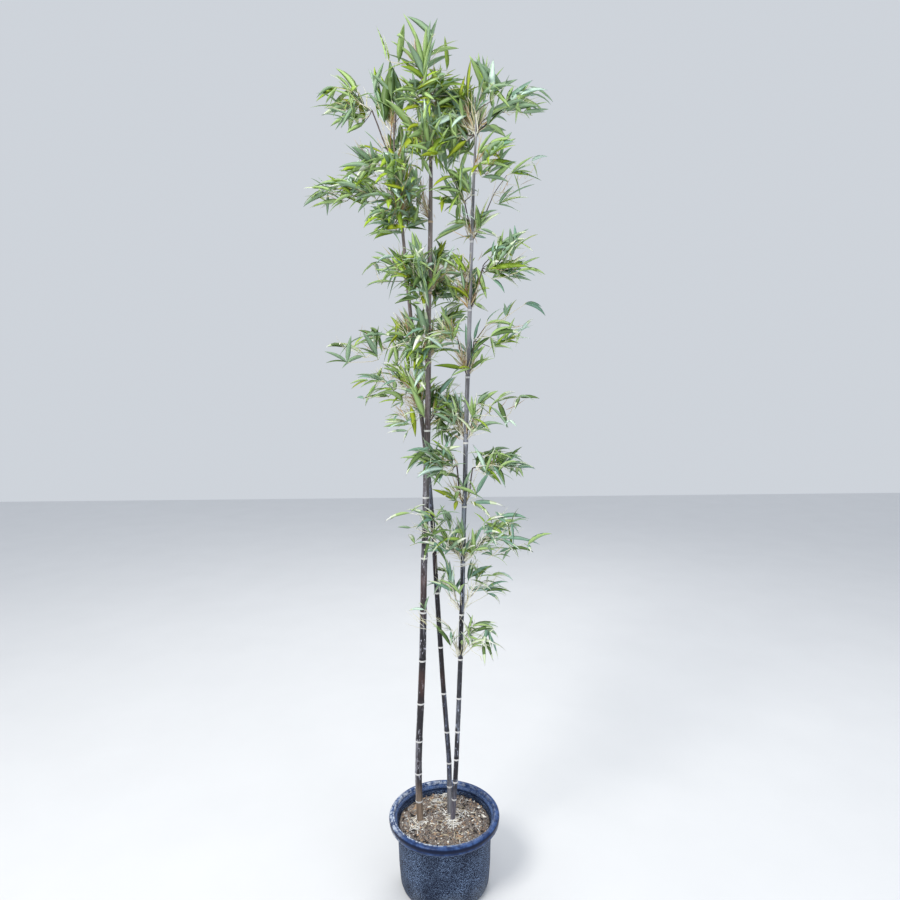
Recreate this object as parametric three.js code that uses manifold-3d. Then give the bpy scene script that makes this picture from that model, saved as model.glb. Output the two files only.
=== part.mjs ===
// Potted bamboo: three dark, jointed culms standing in one round nursery pot, with a spray of
// foliage at each upper joint. Millimetres, +Z up, the front towards -Y. The origin is the centre
// of the pot's flat underside.

import * as THREE from 'three';
import { mergeVertices } from 'three/addons/utils/BufferGeometryUtils.js';
import Module from 'manifold-3d';

const wasm = await Module();
wasm.setup();

// ---------------------------------------------------------------- driving dimensions

const CLEARANCE = 0.5; // between two pieces that touch on the real plant
const SPRAY_GAP = 2; // between two masses of foliage that grow into each other

const POT = {
  height: 224,
  baseRadius: 127,
  heelRadius: 131.5, // just above the rounded bottom edge
  heelHeight: 4,
  footRadius: 136,
  footHeight: 24,
  waistRadius: 139.5,
  waistHeight: 75,
  shoulderRadius: 143,
  rimRadius: 169,
  rimDepth: 25, // height of the band that hangs outside the wall
  openingRadius: 151,
  lipRound: 5,
  wall: 3,
  floor: 4,
  segments: 30,
};

const SOIL_TOP = 196;
const SOIL_EDGE_DROP = 3; // the soil falls away a little where it meets the wall
const SOIL_FLAT_RADIUS = 118;

// Each culm follows a line through a few points [x, y, height]. Its internodes grow by a fixed
// step from the soil up to the longest, and shorten again as the tip comes near.
const CULMS = {
  thick: {
    line: [[-74, 0, 196], [-77, 2, 350], [-60, 0, 700], [-50, -3, 1010], [-36, 0, 1390],
      [-27, 4, 1770], [-17, 2, 2110], [-24, 0, 2270], [-54, -4, 2440]],
    firstNode: 259, internode: 88, growth: 15.2, longest: 195,
    radius: 10.2, slimming: 0.76, hold: 3,
  },
  leaning: {
    line: [[16, 24, 196], [16, 27, 360], [2, 30, 585], [-15, 33, 895], [-30, 35, 1180],
      [-69, 33, 1580], [-104, 30, 2000], [-120, 28, 2200], [-113, 26, 2290]],
    firstNode: 285, internode: 76, growth: 23, longest: 183,
    radius: 7.5, slimming: 0.72, hold: 3.5,
  },
  slender: {
    line: [[25, -11, 196], [34, -10, 320], [53, -8, 703], [63, -8, 1000], [74, -6, 1350],
      [88, -6, 1723], [103, -8, 2110], [109, -8, 2220], [107, -9, 2300]],
    firstNode: 265, internode: 55, growth: 16.3, longest: 188,
    radius: 7.2, slimming: 0.72, hold: 4.5,
  },
};
const CULM_SIDES = 8;
const TIP_SHARE = 0.48; // the share of the height left to the tip that one internode may take
const SHORTEST_INTERNODE = 30; // the culm's last node is the one below an internode this short

// A limb ends at the distance `entry` inside its mass, and hangs below the straight line by the
// share `sag` of its length.
const BOUGH = { rootRadius: 2.6, tipRadius: 1.5, sides: 5, steps: 2, entry: 14, sag: 0.12 };

// A mass of foliage has `around` spokes in each of its `along` sections. skew moves its widest
// place towards the culm, fullness is low for a blunt body, ragged and reachRagged are the shares
// of its width and reach by which its surface is uneven.
const SPRAY = { around: 8, along: 7, skew: 0.8, fullness: 0.62, ragged: 0.24, reachRagged: 0.09 };

// One row for each mass of foliage: [culm, node, side, turn, [near, far], [foot, tip, arch],
// [wide, tall], bough]. It grows from the numbered node of its culm, counted from the soil, and
// heads out at `turn` degrees (0 right, 90 back, 180 left, 270 front). near and far are the
// distances of its ends from the culm's axis, foot and tip their heights over the node, arch the
// rise of its middle, wide and tall its half-width and half-height. 'bough' marks a mass that a
// limb carries clear of the culm; the others close round the culm or against it.
const SPRAY_ROWS = [
  ['slender', 6, 'left', 218, [14, 194], [82, 148, 38], [42, 36], 'bough'],
  ['slender', 6, 'right', 322, [4, 138], [68, 24, 30], [42, 56], 'bough'],
  ['slender', 7, 'left', 150, [2, 102], [78, 82, 14], [38, 56]],
  ['slender', 7, 'right', 28, [2, 178], [92, 20, 28], [42, 46]],
  ['slender', 8, 'left', 214, [-34, 256], [46, 148, 16], [56, 66]],
  ['slender', 8, 'right', 330, [-6, 252], [40, 104, 32], [60, 62]],
  ['slender', 9, 'left', 212, [10, 188], [120, 142, 10], [44, 54], 'bough'],
  ['slender', 9, 'right', 26, [14, 238], [110, 80, 24], [48, 46], 'bough'],
  ['slender', 10, 'left', 140, [2, 132], [60, 82, 8], [42, 66]],
  ['slender', 10, 'right', 328, [2, 230], [74, 118, 10], [56, 50]],
  ['slender', 11, 'left', 228, [30, 160], [114, 118, 6], [40, 52], 'bough'],
  ['slender', 11, 'right', 24, [6, 264], [98, 204, -2], [52, 60], 'bough'],
  ['slender', 12, 'left', 135, [-42, 126], [98, 108, 12], [46, 76]],
  ['slender', 12, 'right', 325, [28, 228], [108, 114, 14], [56, 56], 'bough'],
  ['slender', 13, 'left', 225, [-44, 146], [150, 102, 2], [42, 50]],
  ['slender', 13, 'right', 24, [50, 270], [120, 252, -2], [50, 58], 'bough'],
  ['slender', 14, 'right', 318, [2, 122], [12, 32, 0], [44, 66]],
  ['slender', 15, 'left', 150, [2, 106], [10, 82, 0], [44, 112]],
  ['slender', 15, 'right', 26, [66, 254], [72, 154, 6], [46, 46], 'bough'],
  ['slender', 15, 'top', 318, [-78, 114], [100, 106, 14], [52, 76]],
  ['thick', 9, 'right', 42, [-4, 134], [62, 118, 0], [42, 52]],
  ['thick', 10, 'front', 245, [2, 104], [48, 28, 0], [34, 108]],
  ['thick', 10, 'right', 48, [32, 146], [86, 148, 0], [36, 46], 'bough'],
  ['thick', 11, 'right', 58, [2, 138], [46, 58, 4], [42, 80]],
  ['thick', 11, 'left', 236, [2, 122], [40, 18, 0], [38, 86]],
  ['thick', 12, 'left', 142, [2, 100], [84, 114, 0], [38, 84]],
  ['thick', 13, 'front', 262, [-34, 150], [12, -14, 4], [44, 68]],
  ['thick', 13, 'back', 82, [2, 190], [30, 48, 8], [54, 60]],
  ['thick', 14, 'right', 350, [-62, 100], [-8, 8, 4], [60, 48]],
  ['thick', 15, 'top', 180, [-92, 136], [34, 54, 12], [76, 80]],
  ['leaning', 9, 'left', 222, [-6, 124], [0, -48, 8], [40, 54]],
  ['leaning', 9, 'upper_left', 155, [2, 242], [84, 42, 16], [56, 46]],
  ['leaning', 10, 'left', 216, [76, 286], [-8, -34, 14], [56, 56], 'bough'],
  ['leaning', 10, 'back', 125, [2, 158], [18, 4, 4], [44, 72]],
  ['leaning', 11, 'left', 144, [-54, 188], [32, 38, 0], [54, 58]],
  ['leaning', 12, 'left', 224, [-62, 122], [-6, -50, 8], [50, 44]],
  ['leaning', 12, 'far_left', 160, [42, 310], [68, 76, 14], [50, 42], 'bough'],
  ['leaning', 12, 'upper_left', 214, [4, 192], [136, 106, 4], [52, 50]],
  ['leaning', 12, 'front', 278, [2, 164], [86, 64, 4], [50, 64]],
  ['leaning', 13, 'left', 156, [58, 258], [150, 210, 14], [50, 64], 'bough'],
  ['leaning', 13, 'right', 55, [-4, 110], [60, 114, 0], [34, 56]],
  ['leaning', 14, 'top', 150, [-34, 86], [78, 116, 4], [44, 88]],
];

const COLOURS = {
  pot: { color: 0x2a3140, roughness: 0.6, metalness: 0 },
  soil: { color: 0x6e553c, roughness: 1, metalness: 0 },
  culm: { color: 0x3a2c30, roughness: 0.45, metalness: 0 },
  bough: { color: 0x8f8a6a, roughness: 0.6, metalness: 0 },
  foliage: { color: 0x5f8038, roughness: 0.65, metalness: 0 },
};

// ---------------------------------------------------------------- shared geometry

const WELD_DISTANCE = 1e-3;
const HALVINGS = 30; // steps of the search along a culm's line, enough to settle it exactly
const SCATTER = { row: 12.9898, station: 78.233, spoke: 37.719, size: 43758.5453 };
const OTHER_DRAW = 100; // added to a row number for a second, unrelated set of numbers

// Moves every vertex to place(vertex) and welds the seams, so that the mesh is one closed shell.
function reshape(geometry, place) {
  geometry.deleteAttribute('normal');
  geometry.deleteAttribute('uv');
  const positions = geometry.getAttribute('position');
  for (let i = 0; i < positions.count; i += 1) {
    const vertex = new THREE.Vector3().fromBufferAttribute(positions, i);
    const moved = place(vertex);
    positions.setXYZ(i, moved.x, moved.y, moved.z);
  }
  return mergeVertices(geometry, WELD_DISTANCE);
}

function toSolid(geometry) {
  const mesh = new wasm.Mesh({
    numProp: 3,
    vertProperties: new Float32Array(geometry.getAttribute('position').array),
    triVerts: new Uint32Array(geometry.getIndex().array),
  });
  return new wasm.Manifold(mesh);
}

function fromSolid(solid) {
  const mesh = solid.getMesh();
  const geometry = new THREE.BufferGeometry();
  geometry.setAttribute('position', new THREE.BufferAttribute(mesh.vertProperties, mesh.numProp));
  geometry.setIndex(new THREE.BufferAttribute(mesh.triVerts, 1));
  return geometry;
}

function addPiece(group, name, geometry, look) {
  geometry.computeVertexNormals();
  const mesh = new THREE.Mesh(geometry, new THREE.MeshStandardMaterial(look));
  mesh.name = name;
  group.add(mesh);
}

// A repeatable number from -1 to 1 for each set of whole numbers.
function unevenness(row, station, spoke) {
  const phase = row * SCATTER.row + station * SCATTER.station + spoke * SCATTER.spoke;
  const value = Math.sin(phase) * SCATTER.size;
  return 2 * (value - Math.floor(value)) - 1;
}

// ---------------------------------------------------------------- pot and soil

const RIM_BOTTOM = POT.height - POT.rimDepth;

// A closed round body from its half-section [radius, height], starting and ending on the axis.
function turned(profile) {
  const points = profile.map(([radius, height]) => new THREE.Vector2(radius, height));
  const lathe = new THREE.LatheGeometry(points, POT.segments);
  lathe.rotateX(Math.PI / 2);
  return reshape(lathe, (vertex) => vertex);
}

// The inside of the wall is a plain cone from the floor to the foot of the rim.
function innerRadiusAt(height) {
  const rise = (height - POT.floor) / (RIM_BOTTOM - POT.floor);
  return THREE.MathUtils.lerp(POT.heelRadius, POT.shoulderRadius, rise) - POT.wall;
}

// The wall is thin, and the rim is a thick rolled band that stands out over it.
function potGeometry() {
  return turned([
    [0, 0],
    [POT.baseRadius, 0],
    [POT.heelRadius, POT.heelHeight],
    [POT.footRadius, POT.footHeight],
    [POT.waistRadius, POT.waistHeight],
    [POT.shoulderRadius, RIM_BOTTOM],
    [POT.rimRadius - POT.wall, RIM_BOTTOM],
    [POT.rimRadius, POT.height - 2 * POT.lipRound],
    [POT.rimRadius - POT.lipRound / 2, POT.height - POT.lipRound / 2],
    [(POT.rimRadius + POT.openingRadius) / 2, POT.height],
    [POT.openingRadius, POT.height - POT.lipRound],
    [innerRadiusAt(RIM_BOTTOM), RIM_BOTTOM],
    [innerRadiusAt(POT.floor), POT.floor],
    [0, POT.floor],
  ]);
}

function soilGeometry() {
  const foot = POT.floor + CLEARANCE;
  const edge = SOIL_TOP - SOIL_EDGE_DROP;
  return turned([
    [0, foot],
    [innerRadiusAt(foot) - CLEARANCE, foot],
    [innerRadiusAt(edge) - CLEARANCE, edge],
    [SOIL_FLAT_RADIUS, SOIL_TOP],
    [0, SOIL_TOP],
  ]);
}

// ---------------------------------------------------------------- culms

function culmTop(culm) {
  return culm.line[culm.line.length - 1][2];
}

// The heights of a culm's nodes, from the lowest up.
function nodeHeights(culm) {
  const heights = [culm.firstNode];
  let step = culm.internode;
  for (;;) {
    const last = heights[heights.length - 1];
    const left = culmTop(culm) - last;
    const internode = Math.min(step, culm.longest, TIP_SHARE * left);
    if (internode < SHORTEST_INTERNODE) {
      return heights;
    }
    heights.push(last + internode);
    step += culm.growth;
  }
}

// The point of the culm's line at a height, found by halving, as the line always climbs.
function axisAt(culm, height) {
  let low = 0;
  let high = 1;
  for (let i = 0; i < HALVINGS; i += 1) {
    const middle = (low + high) / 2;
    if (culm.curve.getPoint(middle).z < height) {
      low = middle;
    } else {
      high = middle;
    }
  }
  const point = culm.curve.getPoint((low + high) / 2);
  return new THREE.Vector3(point.x, point.y, height);
}

function culmRadiusAt(culm, height) {
  const share = (height - SOIL_TOP) / (culmTop(culm) - SOIL_TOP);
  return culm.radius * (1 - culm.slimming * Math.max(share, 0) ** culm.hold);
}

// Level rings stacked along the culm's line, one at each node.
function culmGeometry(culm) {
  const levels = [SOIL_TOP + CLEARANCE, ...culm.nodes, culmTop(culm)];
  const steps = levels.length - 1;
  const tube = new THREE.CylinderGeometry(1, 1, 1, CULM_SIDES, steps);
  return reshape(tube, (vertex) => {
    const height = levels[Math.round((vertex.y + 0.5) * steps)];
    const centre = axisAt(culm, height);
    const radius = culmRadiusAt(culm, height);
    return new THREE.Vector3(centre.x + radius * vertex.x, centre.y - radius * vertex.z, height);
  });
}

// ---------------------------------------------------------------- boughs and foliage

// The axes of a spray: out along its turn, across it, and up.
function sprayFrame(spray) {
  const angle = THREE.MathUtils.degToRad(spray.turn);
  return {
    out: new THREE.Vector3(Math.cos(angle), Math.sin(angle), 0),
    across: new THREE.Vector3(-Math.sin(angle), Math.cos(angle), 0),
    up: new THREE.Vector3(0, 0, 1),
  };
}

function sprayFromRow([culm, node, side, turn, [near, far], [foot, tip, arch], [wide, tall], bough]) {
  return { culm, node, side, turn, near, far, foot, tip, arch, wide, tall, bough: bough === 'bough' };
}

function sprayPoint(spray, share) {
  const culm = CULMS[spray.culm];
  const node = axisAt(culm, culm.nodes[spray.node - 1]);
  const distance = THREE.MathUtils.lerp(spray.near, spray.far, share);
  const rise = THREE.MathUtils.lerp(spray.foot, spray.tip, share) + spray.arch * 4 * share * (1 - share);
  return node.addScaledVector(sprayFrame(spray).out, distance).setZ(node.z + rise);
}

// A closed, uneven body: its section is an oval that swells from the near end and runs out to a
// point at the tip, and every spoke of every section is pushed out or in by its own amount.
function foliageGeometry(spray, row) {
  const frame = sprayFrame(spray);
  const ball = new THREE.SphereGeometry(1, SPRAY.around, SPRAY.along);
  return reshape(ball, (vertex) => {
    const share = Math.acos(THREE.MathUtils.clamp(vertex.y, -1, 1)) / Math.PI;
    const swell = Math.sin(Math.PI * share ** SPRAY.skew) ** SPRAY.fullness;
    const station = Math.round(share * SPRAY.along);
    const turnAround = Math.atan2(vertex.z, vertex.x);
    const spokes = Math.round((turnAround / (2 * Math.PI)) * SPRAY.around);
    const spoke = (spokes + SPRAY.around) % SPRAY.around;
    const atPole = station === 0 || station === SPRAY.along;
    const push = atPole ? 0 : unevenness(row, station, spoke);
    const slide = atPole ? 0 : unevenness(row + OTHER_DRAW, station, spoke);
    const size = atPole ? 0 : swell * (1 + SPRAY.ragged * push);
    const reach = spray.far - spray.near;
    const point = sprayPoint(spray, share);
    point.addScaledVector(frame.out, SPRAY.reachRagged * reach * slide);
    point.addScaledVector(frame.across, spray.wide * size * Math.cos(turnAround));
    point.addScaledVector(frame.up, spray.tall * size * Math.sin(turnAround));
    return point;
  });
}

// One limb, tapering from the culm to just inside the foliage that it carries.
function boughGeometry(spray) {
  const culm = CULMS[spray.culm];
  const frame = sprayFrame(spray);
  const root = axisAt(culm, culm.nodes[spray.node - 1]);
  const end = sprayPoint(spray, BOUGH.entry / (spray.far - spray.near));
  const along = end.clone().sub(root).normalize();
  const upward = new THREE.Vector3().crossVectors(along, frame.across).normalize();
  const length = end.distanceTo(root);
  const tube = new THREE.CylinderGeometry(1, 1, 1, BOUGH.sides, BOUGH.steps);
  return reshape(tube, (vertex) => {
    const share = vertex.y + 0.5;
    const radius = THREE.MathUtils.lerp(BOUGH.rootRadius, BOUGH.tipRadius, share);
    const sag = -BOUGH.sag * length * 4 * share * (1 - share);
    const point = root.clone().lerp(end, share);
    point.addScaledVector(frame.up, sag);
    point.addScaledVector(frame.across, radius * vertex.x);
    point.addScaledVector(upward, -radius * vertex.z);
    return point;
  });
}

// The same shape with every vertex moved out along its normal, to cut a neighbour back with.
function swollen(geometry, gap) {
  const larger = geometry.clone();
  larger.computeVertexNormals();
  const positions = larger.getAttribute('position');
  const normals = larger.getAttribute('normal');
  for (let i = 0; i < positions.count; i += 1) {
    const vertex = new THREE.Vector3().fromBufferAttribute(positions, i);
    const normal = new THREE.Vector3().fromBufferAttribute(normals, i);
    vertex.addScaledVector(normal, gap);
    positions.setXYZ(i, vertex.x, vertex.y, vertex.z);
  }
  return toSolid(larger);
}

function boxesMeet(a, b) {
  const [first, second] = [a.boundingBox(), b.boundingBox()];
  return [0, 1, 2].every((i) => first.min[i] < second.max[i] && second.min[i] < first.max[i]);
}

// Cuts a solid back from each cutter that its box meets.
function cutBack(solid, cutters) {
  let left = solid;
  for (const cutter of cutters) {
    if (boxesMeet(left, cutter)) {
      left = left.subtract(cutter);
    }
  }
  return left;
}

// ---------------------------------------------------------------- assembly

const group = new THREE.Group();
const sprays = SPRAY_ROWS.map(sprayFromRow);
addPiece(group, 'pot', potGeometry(), COLOURS.pot);
addPiece(group, 'soil', soilGeometry(), COLOURS.soil);

const limbCutters = [];
for (const [name, culm] of Object.entries(CULMS)) {
  culm.curve = new THREE.CatmullRomCurve3(culm.line.map((point) => new THREE.Vector3(...point)));
  culm.nodes = nodeHeights(culm);
  const geometry = culmGeometry(culm);
  limbCutters.push(swollen(geometry, CLEARANCE));
  addPiece(group, `culm_${name}`, geometry, COLOURS.culm);
}

const culmCutters = [...limbCutters];
for (const spray of sprays.filter(({ bough }) => bough)) {
  const geometry = boughGeometry(spray);
  const limb = cutBack(toSolid(geometry), culmCutters);
  limbCutters.push(swollen(geometry, CLEARANCE));
  addPiece(group, `bough_${spray.culm}_${spray.node}_${spray.side}`, fromSolid(limb), COLOURS.bough);
}

const sprayCutters = [];
sprays.forEach((spray, row) => {
  const geometry = foliageGeometry(spray, row);
  const body = toSolid(geometry);
  const cut = cutBack(body, [...limbCutters, ...sprayCutters]);
  sprayCutters.push(swollen(geometry, SPRAY_GAP).add(body));
  addPiece(group, `foliage_${spray.culm}_${spray.node}_${spray.side}`, fromSolid(cut), COLOURS.foliage);
});

export default group;
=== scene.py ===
"""Potted black bamboo: the looks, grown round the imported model. Metres, +Z up, the front towards -Y.

Everything is placed from the CAD nodes. The canes follow the culms' rings, a seeded branching rule
grows twigs, sheaths and leaves from each joint into the mass of foliage that belongs to it, and the
pot and the potting mix are turned round the pot's own axis.
"""

import math

import bpy
import numpy as np
from mathutils import Euler, Matrix, Vector
from mathutils.bvhtree import BVHTree


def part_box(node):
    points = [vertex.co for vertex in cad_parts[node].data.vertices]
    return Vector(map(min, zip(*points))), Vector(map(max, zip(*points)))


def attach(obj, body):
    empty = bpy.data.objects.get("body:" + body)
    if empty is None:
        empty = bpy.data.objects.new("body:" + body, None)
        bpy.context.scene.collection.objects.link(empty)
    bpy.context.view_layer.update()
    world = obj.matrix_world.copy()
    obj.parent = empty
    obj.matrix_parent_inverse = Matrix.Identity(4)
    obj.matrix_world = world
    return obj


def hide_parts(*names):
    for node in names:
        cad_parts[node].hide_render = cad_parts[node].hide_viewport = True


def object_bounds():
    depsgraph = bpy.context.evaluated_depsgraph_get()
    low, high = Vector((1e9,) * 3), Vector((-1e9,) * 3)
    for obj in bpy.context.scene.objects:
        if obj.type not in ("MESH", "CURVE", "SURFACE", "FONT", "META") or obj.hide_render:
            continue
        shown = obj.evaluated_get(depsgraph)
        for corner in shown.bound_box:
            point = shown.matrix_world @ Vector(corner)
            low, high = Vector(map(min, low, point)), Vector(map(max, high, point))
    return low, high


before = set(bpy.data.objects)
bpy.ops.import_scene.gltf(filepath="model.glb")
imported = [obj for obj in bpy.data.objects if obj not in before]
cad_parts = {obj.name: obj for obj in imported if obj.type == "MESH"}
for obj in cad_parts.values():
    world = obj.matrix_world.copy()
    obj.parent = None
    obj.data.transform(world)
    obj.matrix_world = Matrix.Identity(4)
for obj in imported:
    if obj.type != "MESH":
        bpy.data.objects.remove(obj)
CAD_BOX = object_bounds()
MM = 0.001
UP = np.array([0.0, 0.0, 1.0])
RNG = np.random.default_rng(41)

# ---------------------------------------------------------------- camera, floor and light

CAMERA = {
    "place": (0.0285, -1.90, 1.516),
    "down": 5.57,
    "roll": -0.576,
    "lens": 26.416,
    "sensor": 36.0,
}
PALE_SKY = (0.86, 0.91, 0.98)
SKY_STRENGTH = 0.72
# Each lamp: name, place, size, power in watts, colour. They all look at the middle of the plant.
LAMPS = [
    ("key_lamp", (-2.0, -2.4, 4.2), 1.5, 150.0, (1.0, 0.97, 0.90)),
    ("fill_lamp", (2.6, -2.2, 2.0), 2.2, 26.0, (0.92, 0.96, 1.0)),
    ("back_lamp", (0.6, 2.4, 3.6), 1.8, 45.0, (1.0, 0.98, 0.94)),
]
FLOOR_SIZE = 14.0


def set_camera():
    """The camera looks along +Y, tipped down by `down` degrees and turned about its own line of sight
    by `roll` degrees."""
    lens = bpy.data.cameras.new("camera")
    lens.lens = CAMERA["lens"]
    lens.sensor_width = CAMERA["sensor"]
    camera = bpy.data.objects.new("camera", lens)
    tip = Euler((math.radians(90 - CAMERA["down"]), 0, 0)).to_matrix()
    roll = Matrix.Rotation(math.radians(CAMERA["roll"]), 3, "Z")
    camera.matrix_world = Matrix.Translation(CAMERA["place"]) @ (tip @ roll).to_4x4()
    bpy.context.scene.collection.objects.link(camera)
    bpy.context.scene.camera = camera


def set_light():
    """A pale even sky and three soft lamps."""
    scene = bpy.context.scene
    scene.view_settings.view_transform = "Standard"
    world = bpy.data.worlds.new("pale_sky")
    world.use_nodes = True
    sky = world.node_tree.nodes["Background"]
    sky.inputs["Color"].default_value = (*PALE_SKY, 1)
    sky.inputs["Strength"].default_value = SKY_STRENGTH
    scene.world = world
    low, high = CAD_BOX
    middle = (low + high) / 2
    for name, place, size, power, colour in LAMPS:
        lamp = bpy.data.lights.new(name, "AREA")
        lamp.size = size
        lamp.energy = power
        lamp.color = colour
        holder = bpy.data.objects.new(name, lamp)
        holder.location = place
        holder.rotation_euler = (middle - Vector(place)).to_track_quat("-Z", "Y").to_euler()
        scene.collection.objects.link(holder)


# ---------------------------------------------------------------- finishes

RAMP_HEIGHT = 2.6  # a height ramp's full length
COLOUR_A, COLOUR_B, COLOUR_OUT = 6, 7, 2  # where a Mix node keeps its colour sockets


class Finish:
    """A procedural material: a Principled shader, and short calls for the nodes behind it."""

    def __init__(self, name, colour, roughness, shine=0.5):
        self.material = bpy.data.materials.new(name)
        self.material.use_nodes = True
        self.tree = self.material.node_tree
        self.shader = self.tree.nodes["Principled BSDF"]
        self.shader.inputs["Base Color"].default_value = (*colour, 1)
        self.shader.inputs["Roughness"].default_value = roughness
        self.shader.inputs["Specular IOR Level"].default_value = shine

    def node(self, kind, **links):
        """A new node. Its inputs are given by name, or by place as _0 and _1."""
        made = self.tree.nodes.new("ShaderNode" + kind)
        for socket, value in links.items():
            self.feed(made.inputs[int(socket[1:]) if socket[0] == "_" else socket], value)
        return made

    def feed(self, socket, value):
        """Links the socket to another node's output, or sets it to a plain value."""
        if isinstance(value, bpy.types.NodeSocket):
            self.tree.links.new(value, socket)
        elif socket.type == "RGBA" and len(value) == 3:
            socket.default_value = (*value, 1)
        else:
            socket.default_value = value

    def place(self, stretch=(1, 1, 1)):
        """The object's own coordinates, squeezed by `stretch` along each axis."""
        own = self.node("TexCoord").outputs["Object"]
        return self.node("Mapping", Vector=own, Scale=stretch).outputs["Vector"]

    def along(self, axis):
        """The object's own coordinate along one axis."""
        own = self.node("TexCoord").outputs["Object"]
        return self.node("SeparateXYZ", Vector=own).outputs[axis]

    def radius(self):
        """The distance from the object's Z axis."""
        made = self.node("VectorMath", _0=self.place((1, 1, 0)))
        made.operation = "LENGTH"
        return made.outputs["Value"]

    def noise(self, scale, stretch=(1, 1, 1), detail=3.0, roughness=0.55):
        """A cloudy value round one half, with `scale` clouds or so in a metre."""
        return self.node(
            "TexNoise", Vector=self.place(stretch), Scale=scale, Detail=detail, Roughness=roughness
        ).outputs["Fac"]

    def band(self, value, low, high):
        """0 where value is under low, 1 over high, and smooth between. It falls where low is higher."""
        made = self.node("MapRange", Value=value)
        made.interpolation_type = "SMOOTHSTEP"
        made.inputs["From Min"].default_value = low
        made.inputs["From Max"].default_value = high
        return made.outputs["Result"]

    def ramp(self, height, stops, between):
        """A value that changes with height. `stops` are pairs of a height and a value, from the lowest
        up, and `between` says how it goes from one to the next."""
        made = self.node("ValToRGB", Fac=self.maths("DIVIDE", height, RAMP_HEIGHT))
        made.color_ramp.interpolation = between
        elements = made.color_ramp.elements
        elements.remove(elements[1])
        elements[0].position = stops[0][0] / RAMP_HEIGHT
        elements[0].color = (*[stops[0][1]] * 3, 1)
        for level, value in stops[1:]:
            elements.new(level / RAMP_HEIGHT).color = (*[value] * 3, 1)
        return made.outputs["Color"]

    def maths(self, operation, first, second=0.0):
        """A Math node's result."""
        made = self.node("Math", _0=first, _1=second)
        made.operation = operation
        return made.outputs["Value"]

    def plus(self, first, second):
        """first + second."""
        return self.maths("ADD", first, second)

    def times(self, first, *others):
        """The product of all the values, taken from left to right."""
        for other in others:
            first = self.maths("MULTIPLY", first, other)
        return first

    def graded(self, value, start, gain):
        """start + gain * value."""
        return self.plus(self.times(value, gain), start)

    def mix(self, share, first, second):
        """The first colour where share is 0, the second where it is 1."""
        made = self.node("Mix")
        made.data_type = "RGBA"
        self.feed(made.inputs["Factor"], share)
        self.feed(made.inputs[COLOUR_A], first)
        self.feed(made.inputs[COLOUR_B], second)
        return made.outputs[COLOUR_OUT]

    def colour(self, value):
        """Sets the surface's colour."""
        self.feed(self.shader.inputs["Base Color"], value)

    def roughness(self, value):
        """Sets how rough the surface is."""
        self.feed(self.shader.inputs["Roughness"], value)

    def bump(self, height, depth, strength=0.5):
        """Raises the surface by `depth` metres for each unit of height."""
        made = self.node("Bump", Height=height, Strength=strength, Distance=depth)
        self.feed(self.shader.inputs["Normal"], made.outputs["Normal"])


LEAF_ROUGHNESS, LEAF_SHINE = 0.46, 0.22
VEINS = 44.0  # radians of the veins' sine across a blade: seven veins


def leaf_finish(name, colour):
    """One tint of leaf. Its bump is a sine across the blade for the veins, plus a slow noise."""
    made = Finish(name, colour, LEAF_ROUGHNESS, LEAF_SHINE)
    blade = made.node("UVMap").outputs["UV"]
    across = made.node("SeparateXYZ", Vector=blade).outputs["X"]
    veins = made.maths("SINE", made.times(across, VEINS))
    waves = made.times(made.noise(70.0, detail=2.0), 6.0)
    made.bump(made.plus(veins, waves), 0.14 * MM, 0.45)
    return made.material


def twig_finish(name, colour, roughness=0.55):
    """Twig bark, dry sheath or root: fine grain in long streaks, as a bump."""
    made = Finish(name, colour, roughness)
    made.bump(made.noise(240.0, (1, 1, 0.2), 4.0), 0.4 * MM, 0.5)
    return made.material


JOINT_RUST = 0.35  # how rusty a cane is just over a joint, beside the middle of its internode
PALING = (1.05, 1.75)  # a cane pales between these heights
FOOT_FADE = (0.10, 0.02)  # the weathered foot fades out between these heights over its top


def dimmed(colour, share):
    """The colour with each part multiplied by share."""
    return tuple(share * value for value in colour)


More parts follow.
